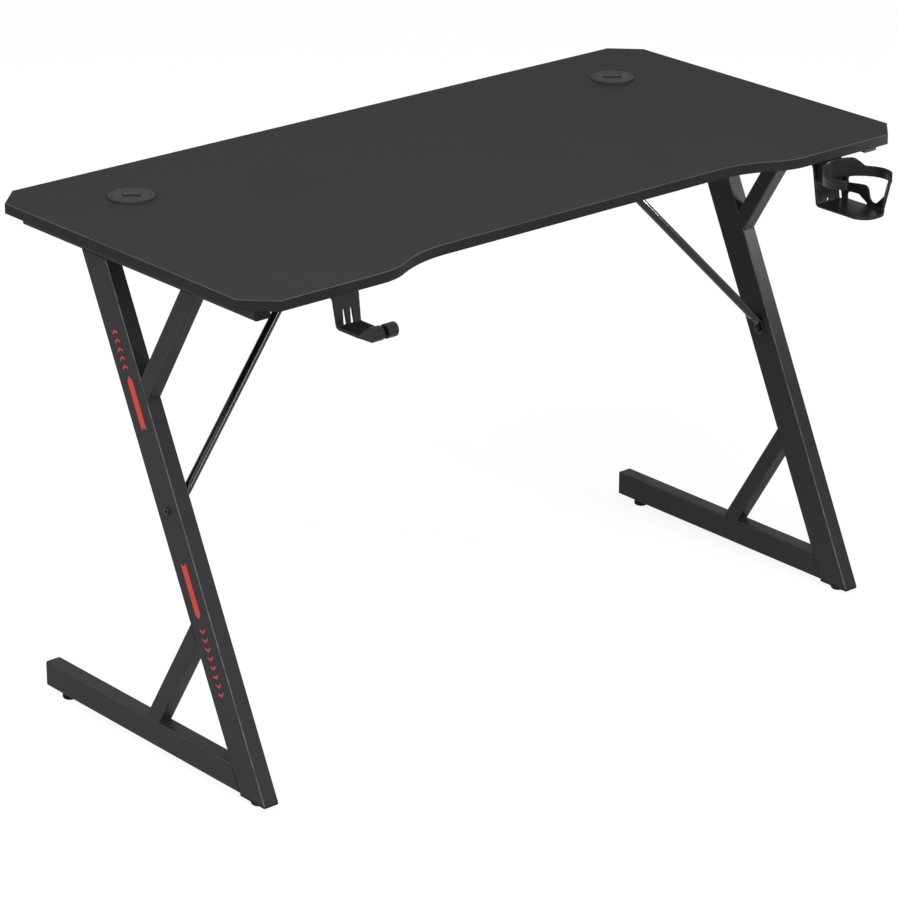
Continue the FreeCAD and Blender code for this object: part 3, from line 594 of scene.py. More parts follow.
@dataclass(frozen=True)
class Layout:
    """Levels and places that several sub-assemblies share."""

    top: float = 739.0
    board_under: float = 724.0
    beam_under: float = 704.0
    foot_top: float = 47.0
    frame_foot: float = 9.0
    front_edge: float = -300.0
    leg_x: float = -561.5
    leg_depth: float = 50.0
    leg_foot_y: float = -238.0
    leg_head_y: float = 91.0
    tube_width: float = 25.0
    foot_rows: tuple[tuple[str, float], ...] = (("front", -237.0), ("rear", 203.0))
    stay_bolt_z: float = 378.0
    stay_head_x: float = -225.5
    stay_head_y: float = 4.0
    stay_tab: float = 2.6
    grommet_x: float = 451.0
    grommet_y: float = 170.0
    accessory_x: float = 445.0
    screw_y: float = -268.0

    @property
    def beam_height(self) -> float:
        """Height of the top beams."""
        return self.board_under - self.beam_under

    @property
    def lean(self) -> float:
        """Lean of the slanted leg from upright, in radians."""
        return math.atan2(self.leg_head_y - self.leg_foot_y, self.beam_under - self.frame_foot)

    @property
    def leg_outer_x(self) -> float:
        """Outer face of the left leg."""
        return self.leg_x - self.tube_width / 2

    @property
    def leg_inner_x(self) -> float:
        """Inner face of the left leg."""
        return self.leg_x + self.tube_width / 2

    def leg_y(self, height: float) -> float:
        """Middle of the slanted leg at a height."""
        return self.leg_foot_y + (height - self.frame_foot) * math.tan(self.lean)

    def on_leg(self, along: float, across: float) -> Vector:
        """Point on the left leg's outer face, so far up from its foot and so far back from its middle line."""
        reach = Matrix.Rotation(-self.lean, 3, "X") @ Vector((0, across, along))
        return Vector((self.leg_outer_x, self.leg_foot_y, self.frame_foot)) + reach


@dataclass
class Tabletop:
    """Laminated board with cut corners and a front recess, and the band round its edge."""

    layout: Layout
    width: float = 1200.0
    depth: float = 600.0
    band: float = 1.0
    corner_cut: float = 40.0
    recess_depth: float = 37.0
    recess_mouth: float = 780.0
    recess_floor: float = 500.0
    lip_share: float = 1 / 3
    arc_steps: int = 18
    hole: float = 60.0
    hole_steps: int = 72
    board_round: float = 0.12
    band_round: float = 0.75
    band_round_steps: int = 3

    def outline(self) -> BMesh:
        """Draws the tabletop's outline.

        Returns:
            The outline as one face, with the band's width inset in it.
        """
        bm = bmesh.new()
        level = self.layout.board_under
        front = self.layout.front_edge
        back = front + self.depth
        half = self.width / 2
        cut = self.corner_cut
        run = (self.recess_mouth - self.recess_floor) / 2
        turn = 2 * math.atan2(self.recess_depth, run)
        lip = run / math.sin(turn) * self.lip_share
        hollow = run / math.sin(turn) - lip
        floor_y = front + self.recess_depth
        start = bm.verts.new((0, floor_y, level))
        end = chain(bm, start, [(self.recess_floor / 2, floor_y, level)])
        end = swing(bm, end, (self.recess_floor / 2, floor_y - hollow, level), -turn, self.arc_steps)
        end = swing(bm, end, (self.recess_mouth / 2, front + lip, level), turn, self.arc_steps)
        corners = [(half - cut, front), (half, front + cut), (half, back - cut), (half - cut, back), (0, back)]
        chain(bm, end, [(x, y, level) for x, y in corners])
        bmesh.ops.mirror(bm, geom=bm.verts[:] + bm.edges[:], merge_dist=MERGE, axis="X")
        bmesh.ops.remove_doubles(bm, verts=bm.verts, dist=MERGE)
        bmesh.ops.edgeloop_fill(bm, edges=bm.edges[:])
        bmesh.ops.inset_region(bm, faces=bm.faces[:], thickness=self.band, use_even_offset=True, use_boundary=True)
        return bm

    def core_face(self, bm: BMesh) -> BMFace:
        """The outline's inner face, which has the most corners."""
        return max(bm.faces, key=lambda face: len(face.verts))

    def build_board(self) -> None:
        """Builds the board with its two grommet holes."""
        lay = self.layout
        bm = self.outline()
        core = self.core_face(bm)
        bmesh.ops.delete(bm, geom=[face for face in bm.faces if face is not core], context="FACES")
        bmesh.ops.delete(bm, geom=bm.faces[:], context="FACES_ONLY")
        for side in Side:
            place = Matrix.Translation((side.value * lay.grommet_x, lay.grommet_y, lay.board_under))
            bmesh.ops.create_circle(bm, segments=self.hole_steps, radius=self.hole / 2, matrix=place)
        bmesh.ops.triangle_fill(bm, use_beauty=True, edges=bm.edges[:])
        thicken(bm, Z_AXIS * (lay.top - lay.board_under))
        round_over(bm, sharp_edges(bm), self.board_round)
        show(bm, "laminated_board", LAMINATE, ["tabletop_board"])

    def build_band(self) -> None:
        """Builds the plastic band, rounded along its outer arrises."""
        bm = self.outline()
        core = self.core_face(bm)
        inner = {vert.co.to_2d().freeze() for vert in core.verts}
        bmesh.ops.delete(bm, geom=[core], context="FACES_ONLY")
        thicken(bm, Z_AXIS * (self.layout.top - self.layout.board_under))
        arris = [e for e in sharp_edges(bm) if all(v.co.to_2d().freeze() not in inner for v in e.verts)
                 and abs(e.verts[0].co.z - e.verts[1].co.z) < self.band]
        round_over(bm, arris, self.band_round, self.band_round_steps)
        show(bm, "rounded_edge_band", EDGE_BAND, ["tabletop_edge_band"])

    def build(self) -> None:
        """Builds the board and its band."""
        self.build_board()
        self.build_band()


@dataclass
class LegFrame:
    """One Z-shaped leg frame: five welded tubes, their weld beads and their plastic plugs."""

    layout: Layout
    side: Side
    wall: float = 1.5
    corner: float = 2.5
    corner_steps: int = 4
    # strength of the highlight painted along the leg's corners and along the other tubes' corners
    leg_highlight: float = 0.75
    tube_highlight: float = 0.25
    rim_round: float = 0.4
    rim_degrees: float = 40.0
    beam_front_y: float = -263.0
    beam_rear_y: float = 254.0
    foot_rear_y: float = 241.0
    brace_depth: float = 25.0
    brace_lean: float = 31.6
    upper_brace_y: float = -117.0
    lower_brace_y: float = -12.0
    tube_reach: float = 2000.0
    bead: float = 2.0
    bead_length: float = 20.0
    bead_sides: int = 12
    bead_ripples: int = 11
    bead_end: float = 0.55
    bead_waist: float = 0.86
    cap_round: float = 0.6

    def tube(self, depth: float, corner_highlight: float) -> BMesh:
        """Draws a long open shell of a tube along Z, with rounded corners.

        Args:
            depth: depth of the tube.
            corner_highlight: how strongly a highlight is painted along its corners, from 0 to 1.

        Returns:
            The shell.
        """
        bm = bmesh.new()
        bmesh.ops.create_cube(bm, size=1.0)
        bmesh.ops.scale(bm, vec=(self.layout.tube_width, depth, self.tube_reach), verts=bm.verts)
        round_over(bm, upright_edges(bm), self.corner, self.corner_steps)
        # share of the painted highlight on each rounded corner, strongest at its middle
        painted_highlight = bm.verts.layers.float.new(POWDER_COAT.attribute)
        for vert in bm.verts:
            turn = abs(vert.co.x) - abs(vert.co.y) + (depth - self.layout.tube_width) / 2
            vert[painted_highlight] = corner_highlight * max(0.0, 1 - 2 * abs(turn) / self.corner)
        ends = [face for face in bm.faces if abs(face.normal.z) > NEAR]
        bmesh.ops.delete(bm, geom=ends, context="FACES_ONLY")
        return bm

    def leg_plane(self, sign: int) -> Plane:
        """A point on the leg's rear (+1) or front (-1) face, and the direction from that face into the leg."""
        face = self.layout.on_leg(0, sign * self.layout.leg_depth / 2)
        return face, (self.layout.on_leg(0, 0) - face).normalized()

    def finish_tube(self, bm: BMesh, name: str, node: str, planes: Sequence[Plane]) -> None:
        """Cuts a tube to length, gives it its wall and shows it.

        Args:
            bm: the tube's long shell, in its place on the left.
            name: name of the piece, without its side.
            node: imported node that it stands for, without its side.
            planes: where it is cut, with the direction of what is cut off.
        """
        for point, normal in planes:
            geometry = bm.verts[:] + bm.edges[:] + bm.faces[:]
            bmesh.ops.bisect_plane(bm, geom=geometry, plane_co=point, plane_no=normal, clear_outer=True)
        bmesh.ops.recalc_face_normals(bm, faces=bm.faces)
        bmesh.ops.solidify(bm, geom=bm.faces[:], thickness=self.wall)
        bmesh.ops.recalc_face_normals(bm, faces=bm.faces)
        round_over(bm, sharp_edges(bm, self.rim_degrees), self.rim_round)
        word = self.side.word
        show(to_side(bm, self.side), f"{word}_{name}", POWDER_COAT, [f"{word}_{node}"])

    def build_tubes(self) -> None:
        """Builds the five tubes of the frame."""
        lay = self.layout
        lean = math.radians(self.brace_lean)
        foot_height = lay.foot_top - lay.frame_foot
        under = ((0, 0, lay.beam_under), Z_AXIS)
        above_foot = ((0, 0, lay.foot_top), -Z_AXIS)
        for name, node, depth, y, z, tilt, planes in (
                ("beam_tube", "top_beam", lay.beam_height, 0, lay.beam_under + lay.beam_height / 2, QUARTER,
                 [((0, self.beam_front_y, 0), -Y_AXIS), ((0, self.beam_rear_y, 0), Y_AXIS)]),
                ("leg_tube", "slanted_leg", lay.leg_depth, lay.leg_foot_y, lay.frame_foot, lay.lean,
                 [under, ((0, 0, lay.frame_foot), -Z_AXIS)]),
                ("upper_brace_tube", "upper_brace", self.brace_depth, self.upper_brace_y, lay.beam_under, -lean,
                 [under, self.leg_plane(-1)]),
                ("lower_brace_tube", "lower_brace", self.brace_depth, self.lower_brace_y, lay.foot_top, -lean,
                 [above_foot, self.leg_plane(1)]),
                ("foot_tube", "foot_beam", foot_height, 0, lay.frame_foot + foot_height / 2, QUARTER,
                 [((0, self.foot_rear_y, 0), Y_AXIS), self.leg_plane(1)])):
            tube = self.tube(depth, self.leg_highlight if node == "slanted_leg" else self.tube_highlight)
            place = Matrix.Translation((lay.leg_x, y, z)) @ Matrix.Rotation(-tilt, 4, "X")
            self.finish_tube(moved(tube, place), name, node, planes)

    def weld_places(self) -> list[tuple[float, float]]:
        """Finds the corners across the frame where a bead fills the angle between two tubes.

        Returns:
            Y and Z of each corner.
        """
        lay = self.layout
        lean = math.radians(self.brace_lean)
        leg_half = lay.leg_depth / 2 / math.cos(lay.lean)
        brace_half = self.brace_depth / 2 / math.cos(lean)
        places = [(lay.leg_head_y - leg_half, lay.beam_under), (lay.leg_head_y + leg_half, lay.beam_under),
                  (lay.leg_y(lay.foot_top) + leg_half, lay.foot_top)]
        for brace_y, level, sign in ((self.upper_brace_y, lay.beam_under, -1), (self.lower_brace_y, lay.foot_top, 1)):
            for edge in (-brace_half, brace_half):
                gap = brace_y + edge - lay.leg_y(level) - sign * leg_half
                rise = gap / (math.tan(lay.lean) + math.tan(lean))
                places.append((brace_y + edge, level))
                places.append((brace_y + edge - rise * math.tan(lean), level + rise))
        return places

    def build_welds(self) -> None:
        """Builds rippled beads across the frame at every joint."""
        beads = bmesh.new()
        last = 2 * self.bead_ripples + 1
        for y, z in self.weld_places():
            bead = bmesh.new()
            bmesh.ops.create_cone(bead, cap_ends=True, segments=self.bead_sides, radius1=self.bead,
                                  radius2=self.bead, depth=self.bead_length)
            bmesh.ops.subdivide_edges(bead, edges=upright_edges(bead), cuts=2 * self.bead_ripples)
            for vert in bead.verts:
                ring = round((vert.co.z / self.bead_length + 0.5) * last)
                swell = self.bead_waist + (1 - self.bead_waist) * (ring % 2)
                vert.co.xy = vert.co.xy * (self.bead_end if ring in (0, last) else swell)
            place = Matrix.Translation((self.layout.leg_x, y, z)) @ Matrix.Rotation(QUARTER, 4, "Y")
            take_in(beads, moved(bead, place))
        show(to_side(beads, self.side), f"{self.side.word}_weld_beads", POWDER_COAT, crease=ROUND_CREASE)

    def build_plugs(self) -> None:
        """Builds the moulded plugs in the tubes' ends."""
        word = self.side.word
        for name, node in (("beam_front_plug", "top_beam_front_cap"), ("beam_rear_plug", "top_beam_rear_cap"),
                           ("foot_plug", "foot_rear_cap"), ("leg_shoe", "leg_end_cap")):
            plug = softened_copy(f"{word}_{node}", self.cap_round)
            show(plug, f"{word}_{name}", CAP_PLASTIC, [f"{word}_{node}"])

    def build(self) -> None:
        """Builds the whole frame."""
        self.build_tubes()
        self.build_welds()
        self.build_plugs()


@dataclass
class LegPrint:
    """Red bars and chevrons printed on a leg's outer face, mirrored about a bare middle."""

    layout: Layout
    side: Side
    film: float = 0.06
    sunk: float = 0.1
    bar_width: float = 11.5
    bar_point: float = 7.0
    bar_notch: float = 4.0
    upper_bar: tuple[float, float] = (598.0, 521.0)
    lower_bar: tuple[float, float] = (255.5, 334.0)
    chevron_width: float = 11.5
    chevron_rise: float = 3.8
    chevron_stroke: float = 3.2
    upper_chevrons: tuple[float, int] = (663.5, 5)
    lower_chevrons: tuple[float, int] = (145.0, 8)
    upper_across: float = 2.5
    lower_across: float = 0.0
    upper_pitch: float = -12.4
    lower_pitch: float = 12.8

    def stamp(self, bm: BMesh, outline: Sequence[tuple[float, float]]) -> None:
        """Adds one flat figure.

        Args:
            bm: mesh of the print.
            outline: the figure's corners, along and across the leg.
        """
        figure = bmesh.new()
        points = [self.layout.on_leg(along, across) + X_AXIS * self.sunk for along, across in outline]
        figure.faces.new([figure.verts.new(point) for point in points])
        thicken(figure, -X_AXIS * (self.sunk + self.film))
        take_in(bm, figure)

    def bar(self, bm: BMesh, tip: float, tail: float) -> None:
        """Adds a bar with a pointed tip and a notched tail.

        Args:
            bm: mesh of the print.
            tip: place of its tip along the leg.
            tail: place of its tail.
        """
        half = self.bar_width / 2
        shoulder = tip - math.copysign(self.bar_point, tip - tail)
        notch = tail + math.copysign(self.bar_notch, tip - tail)
        self.stamp(bm, [(tip, 0), (shoulder, half), (tail, half), (notch, 0), (tail, -half), (shoulder, -half)])

    def chevron(self, bm: BMesh, tip: float, across: float, way: float) -> None:
        """Adds a chevron.

        Args:
            bm: mesh of the print.
            tip: place of its tip along the leg.
            across: place of its tip across the leg.
            way: 1 where it points up the leg, -1 where it points down.
        """
        near, far = across - self.chevron_width / 2, across + self.chevron_width / 2
        wing = tip - self.chevron_rise * way
        stroke = self.chevron_stroke * way
        self.stamp(bm, [(tip, across), (wing, far), (wing - stroke, far), (tip - stroke, across),
                        (wing - stroke, near), (wing, near)])

    def build(self) -> None:
        """Builds the print."""
        bm = bmesh.new()
        self.bar(bm, *self.upper_bar)
        self.bar(bm, *self.lower_bar)
        for (first, count), pitch, across in ((self.upper_chevrons, self.upper_pitch, self.upper_across),
                                              (self.lower_chevrons, self.lower_pitch, self.lower_across)):
            for index in range(count):
                self.chevron(bm, first + pitch * index, across, math.copysign(1, -pitch))
        show(to_side(bm, self.side), f"{self.side.word}_leg_print", RED_INK)


@dataclass
class LevellingFoot:
    """Nylon pad that swivels on a threaded stud."""

    layout: Layout
    side: Side
    row: str
    y: float
    pad_radius: float = 11.0
    pad_height: float = 9.0
    pad_floor: float = 2.5
    pad_round: float = 3.0
    pad_round_steps: int = 5
    pad_chamfer: float = 0.7
    pad_chamfer_steps: int = 2
    neck_radius: float = 4.1
    room_radius: float = 6.6
    room_top: float = 5.6
    flute: float = 0.35
    stud_radius: float = 4.0
    stud_core: float = 3.45
    head_radius: float = 6.5
    head_height: float = 3.0
    head_edge: float = 0.3
    stud_length: float = 27.0
    pitch: float = 1.25
    runout: float = 0.2
    crest: float = 0.55
    tip_length: float = 0.8
    tip_step: float = 0.4
    pad_steps: int = 48
    stud_steps: int = 24

    def place(self, bm: BMesh) -> BMesh:
        """Brings a turned piece to this foot."""
        return moved(bm, Matrix.Translation((self.side.value * -self.layout.leg_x, self.y, 0)))

    def build_pad(self) -> None:
        """Builds the pad, with its floor rounded and its side fluted."""
        word = f"{self.side.word}_{self.row}"
        bm = lathe([(0, 0), (self.pad_radius, 0), (self.pad_radius, self.pad_height),
                    (self.neck_radius, self.pad_height), (self.neck_radius, self.room_top),
                    (self.room_radius, self.room_top), (self.room_radius, self.pad_floor), (0, self.pad_floor)],
                   self.pad_steps)
        under = [e for e in rim_edges(bm, self.pad_radius) if e.verts[0].co.z < NEAR]
        round_over(bm, under, self.pad_round, self.pad_round_steps)
        round_over(bm, rim_edges(bm, self.pad_radius), self.pad_chamfer, self.pad_chamfer_steps)
        middles = {f: f.calc_center_median() for f in bm.faces if abs(f.normal.z) < NEAR}
        sides = [f for f, middle in middles.items() if middle.to_2d().length > self.room_radius]
        sides.sort(key=lambda f: math.atan2(middles[f].y, middles[f].x))
        bmesh.ops.inset_individual(bm, faces=sides[::2], thickness=self.flute, depth=-self.flute)
        show(self.place(bm), f"{word}_glide", PAD_NYLON, [f"{word}_foot_pad"], f"{word}_foot_pad")

    def build_stud(self) -> None:
        """Builds the stud, with its head and its thread."""
        word = f"{self.side.word}_{self.row}"
        low = self.pad_floor
        neck = low + self.head_height
        end = neck + self.stud_length
        waist = self.head_radius - self.head_edge
        turns = int(self.stud_length / self.pitch) - 1
        profile = [(0, low), (waist, low), (self.head_radius, low + self.head_edge),
                   (self.head_radius, neck - self.head_edge), (waist, neck), (self.stud_core, neck)]
        profile += ridges(self.stud_core, self.stud_radius, neck + self.runout * self.pitch, self.pitch, turns,
                          self.crest)
        profile += [(self.stud_core, end - self.tip_length), (self.stud_core - self.tip_step, end), (0, end)]
        stud = lathe(profile, self.stud_steps)
        show(self.place(stud), f"{word}_threaded_stud", ZINC_STEEL, [f"{word}_foot_stud"], f"{word}_foot_stud")

    def build(self) -> None:
        """Builds the pad and the stud."""
        self.build_pad()
        self.build_stud()


@dataclass
class Stay:
    """Round stay whose flattened ends are bolted to the leg and the board."""

    layout: Layout
    side: Side
    radius: float = 6.5
    tab_width: float = 19.0
    tab_reach: float = 10.0
    tab_straight: float = 0.8
    tip_shares: tuple[float, ...] = (-0.985, -0.93, -0.8, -0.6, -0.3, 0.0)
    tip_flat: float = 0.2
    flare: float = 24.0
    flare_steps: int = 6
    sides: int = 32

    def ring(self, bm: BMesh, centre: Vector, across: Vector, way: Vector, flat: float, radius: float) -> list[BMEdge]:
        """Draws one oval section.

        Args:
            bm: mesh to draw in.
            centre: centre of the section.
            across: direction of its width.
            way: direction that it faces.
            flat: half the length of its flat sides.
            radius: radius of its round ends.

        Returns:
            The section's edges.
        """
        verts = bmesh.ops.create_circle(bm, segments=self.sides, radius=radius)["verts"]
        for sign in (-1, 1):
            bmesh.ops.translate(bm, vec=X_AXIS * (sign * flat), verts=[v for v in verts if v.co.x * sign > MERGE])
        turn = Matrix((across, way.cross(across).normalized(), way)).transposed().to_4x4()
        bmesh.ops.transform(bm, matrix=Matrix.Translation(centre) @ turn, verts=verts)
        return edges_at(verts)

    def end_rings(self, bm: BMesh, hole: Vector, along: Vector, normal: Vector, axis: Vector) -> list[list[BMEdge]]:
        """Draws the sections of one end, from the tip of its tab to the round tube.

        Args:
            bm: mesh to draw in.
            hole: mouth of the bolt hole on the seat.
            along: direction from the hole to the bend.
            normal: direction from the seat through the tab.
            axis: direction into the tube.

        Returns:
            The edges of each section in order.
        """
        thick = self.layout.stay_tab / 2
        half = self.tab_width / 2
        middle = hole + normal * thick
        across = along.cross(normal).normalized()
        rings = []
        for share in self.tip_shares:
            flat = max(half * math.sqrt(1 - share * share) - thick, self.tip_flat)
            rings.append(self.ring(bm, middle + along * (share * half), across, along, flat, thick))
        straight = middle + along * (self.tab_reach * self.tab_straight)
        rings.append(self.ring(bm, straight, across, along, half - thick, thick))
        bend = middle + along * self.tab_reach
        level = (across - axis * across.dot(axis)).normalized()
        for step in range(1, self.flare_steps + 1):
            share = step / self.flare_steps
            ease = share * share * (3 - 2 * share)
            flat = (half - thick) * (1 - ease)
            size = thick + (self.radius - thick) * ease
            rings.append(self.ring(bm, bend + axis * (self.flare * share), level, axis, flat, size))
        return rings

    def build(self) -> None:
        """Builds the stay."""
        lay = self.layout
        low = Vector((lay.leg_inner_x, lay.leg_y(lay.stay_bolt_z), lay.stay_bolt_z))
        high = Vector((lay.stay_head_x, lay.stay_head_y, lay.board_under))
        way = high - low
        low_along = Vector((0, way.y, way.z)).normalized()
        high_along = Vector((-way.x, -way.y, 0)).normalized()
        thick = lay.stay_tab / 2
        low_bend = low + low_along * self.tab_reach + X_AXIS * thick
        high_bend = high + high_along * self.tab_reach - Z_AXIS * thick
        axis = (high_bend - low_bend).normalized()
        bm = bmesh.new()
        rings = self.end_rings(bm, low, low_along, X_AXIS, axis)
        rings += reversed(self.end_rings(bm, high, high_along, -Z_AXIS, -axis))
        for first, second in zip(rings, rings[1:]):
            bmesh.ops.bridge_loops(bm, edges=first + second)
        for end in (rings[0], rings[-1]):
            bmesh.ops.edgeloop_fill(bm, edges=end)
        bmesh.ops.recalc_face_normals(bm, faces=bm.faces)
        word = self.side.word
        show(to_side(bm, self.side), f"{word}_stay_rod", GLOSS_COAT, [f"{word}_stay"], crease=ROUND_CREASE)


@dataclass(frozen=True)
class Screw:
    """One kind of domed screw. The shape of its head, recess and tip is in shares of its sizes."""

    drive: Drive
    head: float
    head_height: float
    radius: float
    pitch: float
    recess: float
    crown: float = 0.66
    dome: tuple[tuple[float, float], ...] = ((0.85, 0.88), (0.96, 0.6), (1.0, 0.3), (1.0, 0.06), (0.97, 0.0))
    cross_arm: float = 0.25
    recess_taper: float = 0.92
    recess_depth: float = 0.6
    core: float = 0.86
    runout: float = 0.4
    crest: float = 0.5
    tip_length: float = 0.6
    tip: float = 0.6
    sides: int = 24

    def outline(self, bm: BMesh) -> list[BMEdge]:
        """Draws the outline of the recess, with as many edges as the head has sides.

        Args:
            bm: empty mesh of the screw.

        Returns:
            The outline's edges.
        """
        z = self.head_height
        if self.drive is Drive.HEX:
            place = Matrix.Translation((0, 0, z))
            bmesh.ops.create_circle(bm, segments=6, radius=self.recess / math.sqrt(3), matrix=place)
        else:
            far, near = self.recess / 2, self.recess * self.cross_arm / 2
            chain(bm, bm.verts.new((far, -near, z)), [(far, near, z), (near, near, z), (near, far, z)])
            bmesh.ops.spin(bm, geom=bm.verts[:] + bm.edges[:], cent=(0, 0, z), axis=Z_AXIS, angle=-3 * QUARTER,
                           steps=3, use_duplicate=True)
            bmesh.ops.remove_doubles(bm, verts=bm.verts, dist=MERGE)
        bmesh.ops.subdivide_edges(bm, edges=bm.edges[:], cuts=self.sides // len(bm.edges) - 1)
        return bm.edges[:]

    def grow(self, bm: BMesh, loop: list[BMEdge], scale: float, rise: float) -> list[BMEdge]:
        """Extrudes a loop of edges, scales it about Z and moves it along Z.

        Args:
            bm: mesh of the screw.
            loop: edges to grow from.
            scale: scale of the new loop.
            rise: move of the new loop.

        Returns:
            The new loop's edges.
        """
        grown = bmesh.ops.extrude_edge_only(bm, edges=loop)["geom"]
        verts = [item for item in grown if isinstance(item, BMVert)]
        bmesh.ops.scale(bm, vec=(scale, scale, 1), verts=verts)
        bmesh.ops.translate(bm, vec=Z_AXIS * rise, verts=verts)
        fresh = set(verts)
        return [item for item in grown if isinstance(item, BMEdge) and set(item.verts) <= fresh]

    def make(self, length: float) -> BMesh:
        """Draws a screw whose head stands on Z = 0 and whose threaded shank goes down.

        Args:
            length: length of the shank.

        Returns:
            The screw.
        """
        bm = bmesh.new()
        inner = self.outline(bm)
        at, level = self.crown * self.head, self.head_height
        ring = bmesh.ops.create_circle(bm, segments=self.sides, radius=at, matrix=Matrix.Translation((0, 0, level)))
        rim = edges_at(ring["verts"])
        bmesh.ops.bridge_loops(bm, edges=inner + rim)
        floor = self.grow(bm, inner, self.recess_taper, -self.recess_depth * self.head_height)
        bmesh.ops.edgeloop_fill(bm, edges=floor)
        core = self.core * self.radius
        turns = int(length / self.pitch) - 1
        steps = [(width * self.head, height * self.head_height) for width, height in self.dome]
        steps.append((core, 0.0))
        steps += ridges(core, self.radius, -self.runout * self.pitch, -self.pitch, turns, self.crest)
        steps += [(core, self.tip_length * self.pitch - length), (self.tip * core, -length)]
        for size, height in steps:
            rim = self.grow(bm, rim, size / at, height - level)
            at, level = size, height
        bmesh.ops.edgeloop_fill(bm, edges=rim)
        bmesh.ops.recalc_face_normals(bm, faces=bm.faces)
        return bm

    def upward(self, length: float, x: float, y: float, seat: float) -> BMesh:
        """A screw of a length that goes up from a seat."""
        return moved(self.make(length), Matrix.Translation((x, y, seat)) @ Matrix.Rotation(math.pi, 4, "X"))


BOLT = Screw(Drive.HEX, head=6.0, head_height=3.6, radius=3.0, pitch=1.0, recess=4.0)
WOOD_SCREW = Screw(Drive.CROSS, head=4.0, head_height=2.4, radius=2.0, pitch=1.6, recess=4.2)


@dataclass
class Fasteners:
    """Bolts, nuts and screws of the frames, stays and accessories."""

    layout: Layout
    bolt_bite: float = 10.0
    nut_height: float = 5.0
    nut_tail: float = 2.0
    nut_round: float = 0.35
    beam_rows: tuple[float, float, float] = (216.0, -26.5, -225.0)
    screw_bite: float = 11.0
    hook_pitch: float = 24.0
    hook_flange: float = 4.5
    cup_pitch: float = 34.0
    cup_flange: float = 4.0

    def build_bolts(self) -> None:
        """Builds the frames' and stays' bolts and nuts."""
        lay = self.layout
        beam, top, leg = bmesh.new(), bmesh.new(), bmesh.new()
        grip = lay.tube_width + lay.stay_tab + self.nut_height + self.nut_tail
        place = Matrix.Translation((lay.leg_outer_x, lay.leg_y(lay.stay_bolt_z), lay.stay_bolt_z))
        beam_bolt = lay.beam_height + self.bolt_bite
        top_bolt = lay.stay_tab + self.bolt_bite
        seat = lay.board_under - lay.stay_tab
        for side in Side:
            for row in self.beam_rows:
                take_in(beam, BOLT.upward(beam_bolt, -side.value * lay.leg_x, row, lay.beam_under))
            take_in(top, BOLT.upward(top_bolt, -side.value * lay.stay_head_x, lay.stay_head_y, seat))
            take_in(leg, to_side(moved(BOLT.make(grip), place @ Matrix.Rotation(-QUARTER, 4, "Y")), side))
        show(beam, "beam_socket_bolts", BLACK_STEEL, ["beam_bolts"])
        show(top, "stay_top_socket_bolts", BLACK_STEEL, ["stay_top_bolts"])
        show(leg, "stay_leg_socket_bolts", BLACK_STEEL, ["stay_leg_bolts"])
        show(softened_copy("stay_leg_nuts", self.nut_round), "stay_hex_nuts", BLACK_STEEL, ["stay_leg_nuts"])

    def build_screws(self) -> None:
        """Builds the accessories' wood screws."""
        lay = self.layout
        for name, x, pitch, flange in (("hook", -lay.accessory_x, self.hook_pitch, self.hook_flange),
                                       ("cup_holder", lay.accessory_x, self.cup_pitch, self.cup_flange)):
            pair = bmesh.new()
            for side in Side:
                take_in(pair, WOOD_SCREW.upward(flange + self.screw_bite, x + side.value * pitch / 2, lay.screw_y,
                                                lay.board_under - flange))
            show(pair, f"{name}_wood_screws", BLACK_STEEL, [f"{name}_screws"])

    def dress_hidden(self) -> None:
        """Gives the nuts and inserts that stay as packed their zinc finish."""
        for node in ("foot_nuts", "board_inserts"):
            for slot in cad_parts[node].material_slots:
                slot.material = ZINC_STEEL.make()
            LOG.info("node %s: %s", node, ZINC_STEEL.name)

    def build(self) -> None:
        """Builds every fastener that shows, and dresses the rest."""
        self.build_bolts()
        self.build_screws()
        self.dress_hidden()


@dataclass
class Grommet:
    """Cable grommet: a flanged liner, a lid that turns in it and a flap hinged in the lid."""

    layout: Layout
    side: Side
    flange_radius: float = 33.0
    rise: float = 3.2
    flange_round: float = 1.5
    flange_round_steps: int = 5
    sleeve_radius: float = 29.7
    sleeve_length: float = 19.0
    seat_radius: float = 27.6
    room_radius: float = 26.2
    room_depth: float = 6.3
    bore_radius: float = 25.5
    lid_round: float = 0.35
    lid_round_steps: int = 2
    flap_round: float = 0.3
    steps: int = 80

    def build_liner(self) -> None:
        """Builds the liner, turned, with a rounded flange."""
        word = self.side.word
        top = self.layout.top
        rim = top + self.rise
        low = top - self.sleeve_length
        ledge = top - self.room_depth
        bm = lathe([(self.bore_radius, low), (self.sleeve_radius, low), (self.sleeve_radius, top),
                    (self.flange_radius, top), (self.flange_radius, rim), (self.seat_radius, rim),
                    (self.seat_radius, top), (self.room_radius, top), (self.room_radius, ledge),
                    (self.bore_radius, ledge)], self.steps, closed=True)
        outer = [e for e in rim_edges(bm, self.flange_radius) if e.verts[0].co.z > rim - NEAR]
        round_over(bm, outer, self.flange_round, self.flange_round_steps)
        inner = [e for e in sharp_edges(bm) if e.verts[0].co.z > rim - NEAR]
        round_over(bm, inner, self.lid_round, self.lid_round_steps)
        place = Matrix.Translation((self.side.value * self.layout.grommet_x, self.layout.grommet_y, 0))
        show(moved(bm, place), f"{word}_flanged_liner", GROMMET_PLASTIC, [f"{word}_grommet_liner"])

    def build_lid(self) -> None:
        """Builds the lid and its flap, with softened edges."""
        word = self.side.word
        for name, node, width in (("slotted_lid", "grommet_lid", self.lid_round),
                                  ("hinged_flap", "grommet_flap", self.flap_round)):
            part = softened_copy(f"{word}_{node}", width)
            show(part, f"{word}_{name}", GROMMET_PLASTIC, [f"{word}_{node}"], f"{word}_{node}")

    def build(self) -> None:
        """Builds the liner, the lid and the flap."""
        self.build_liner()
        self.build_lid()


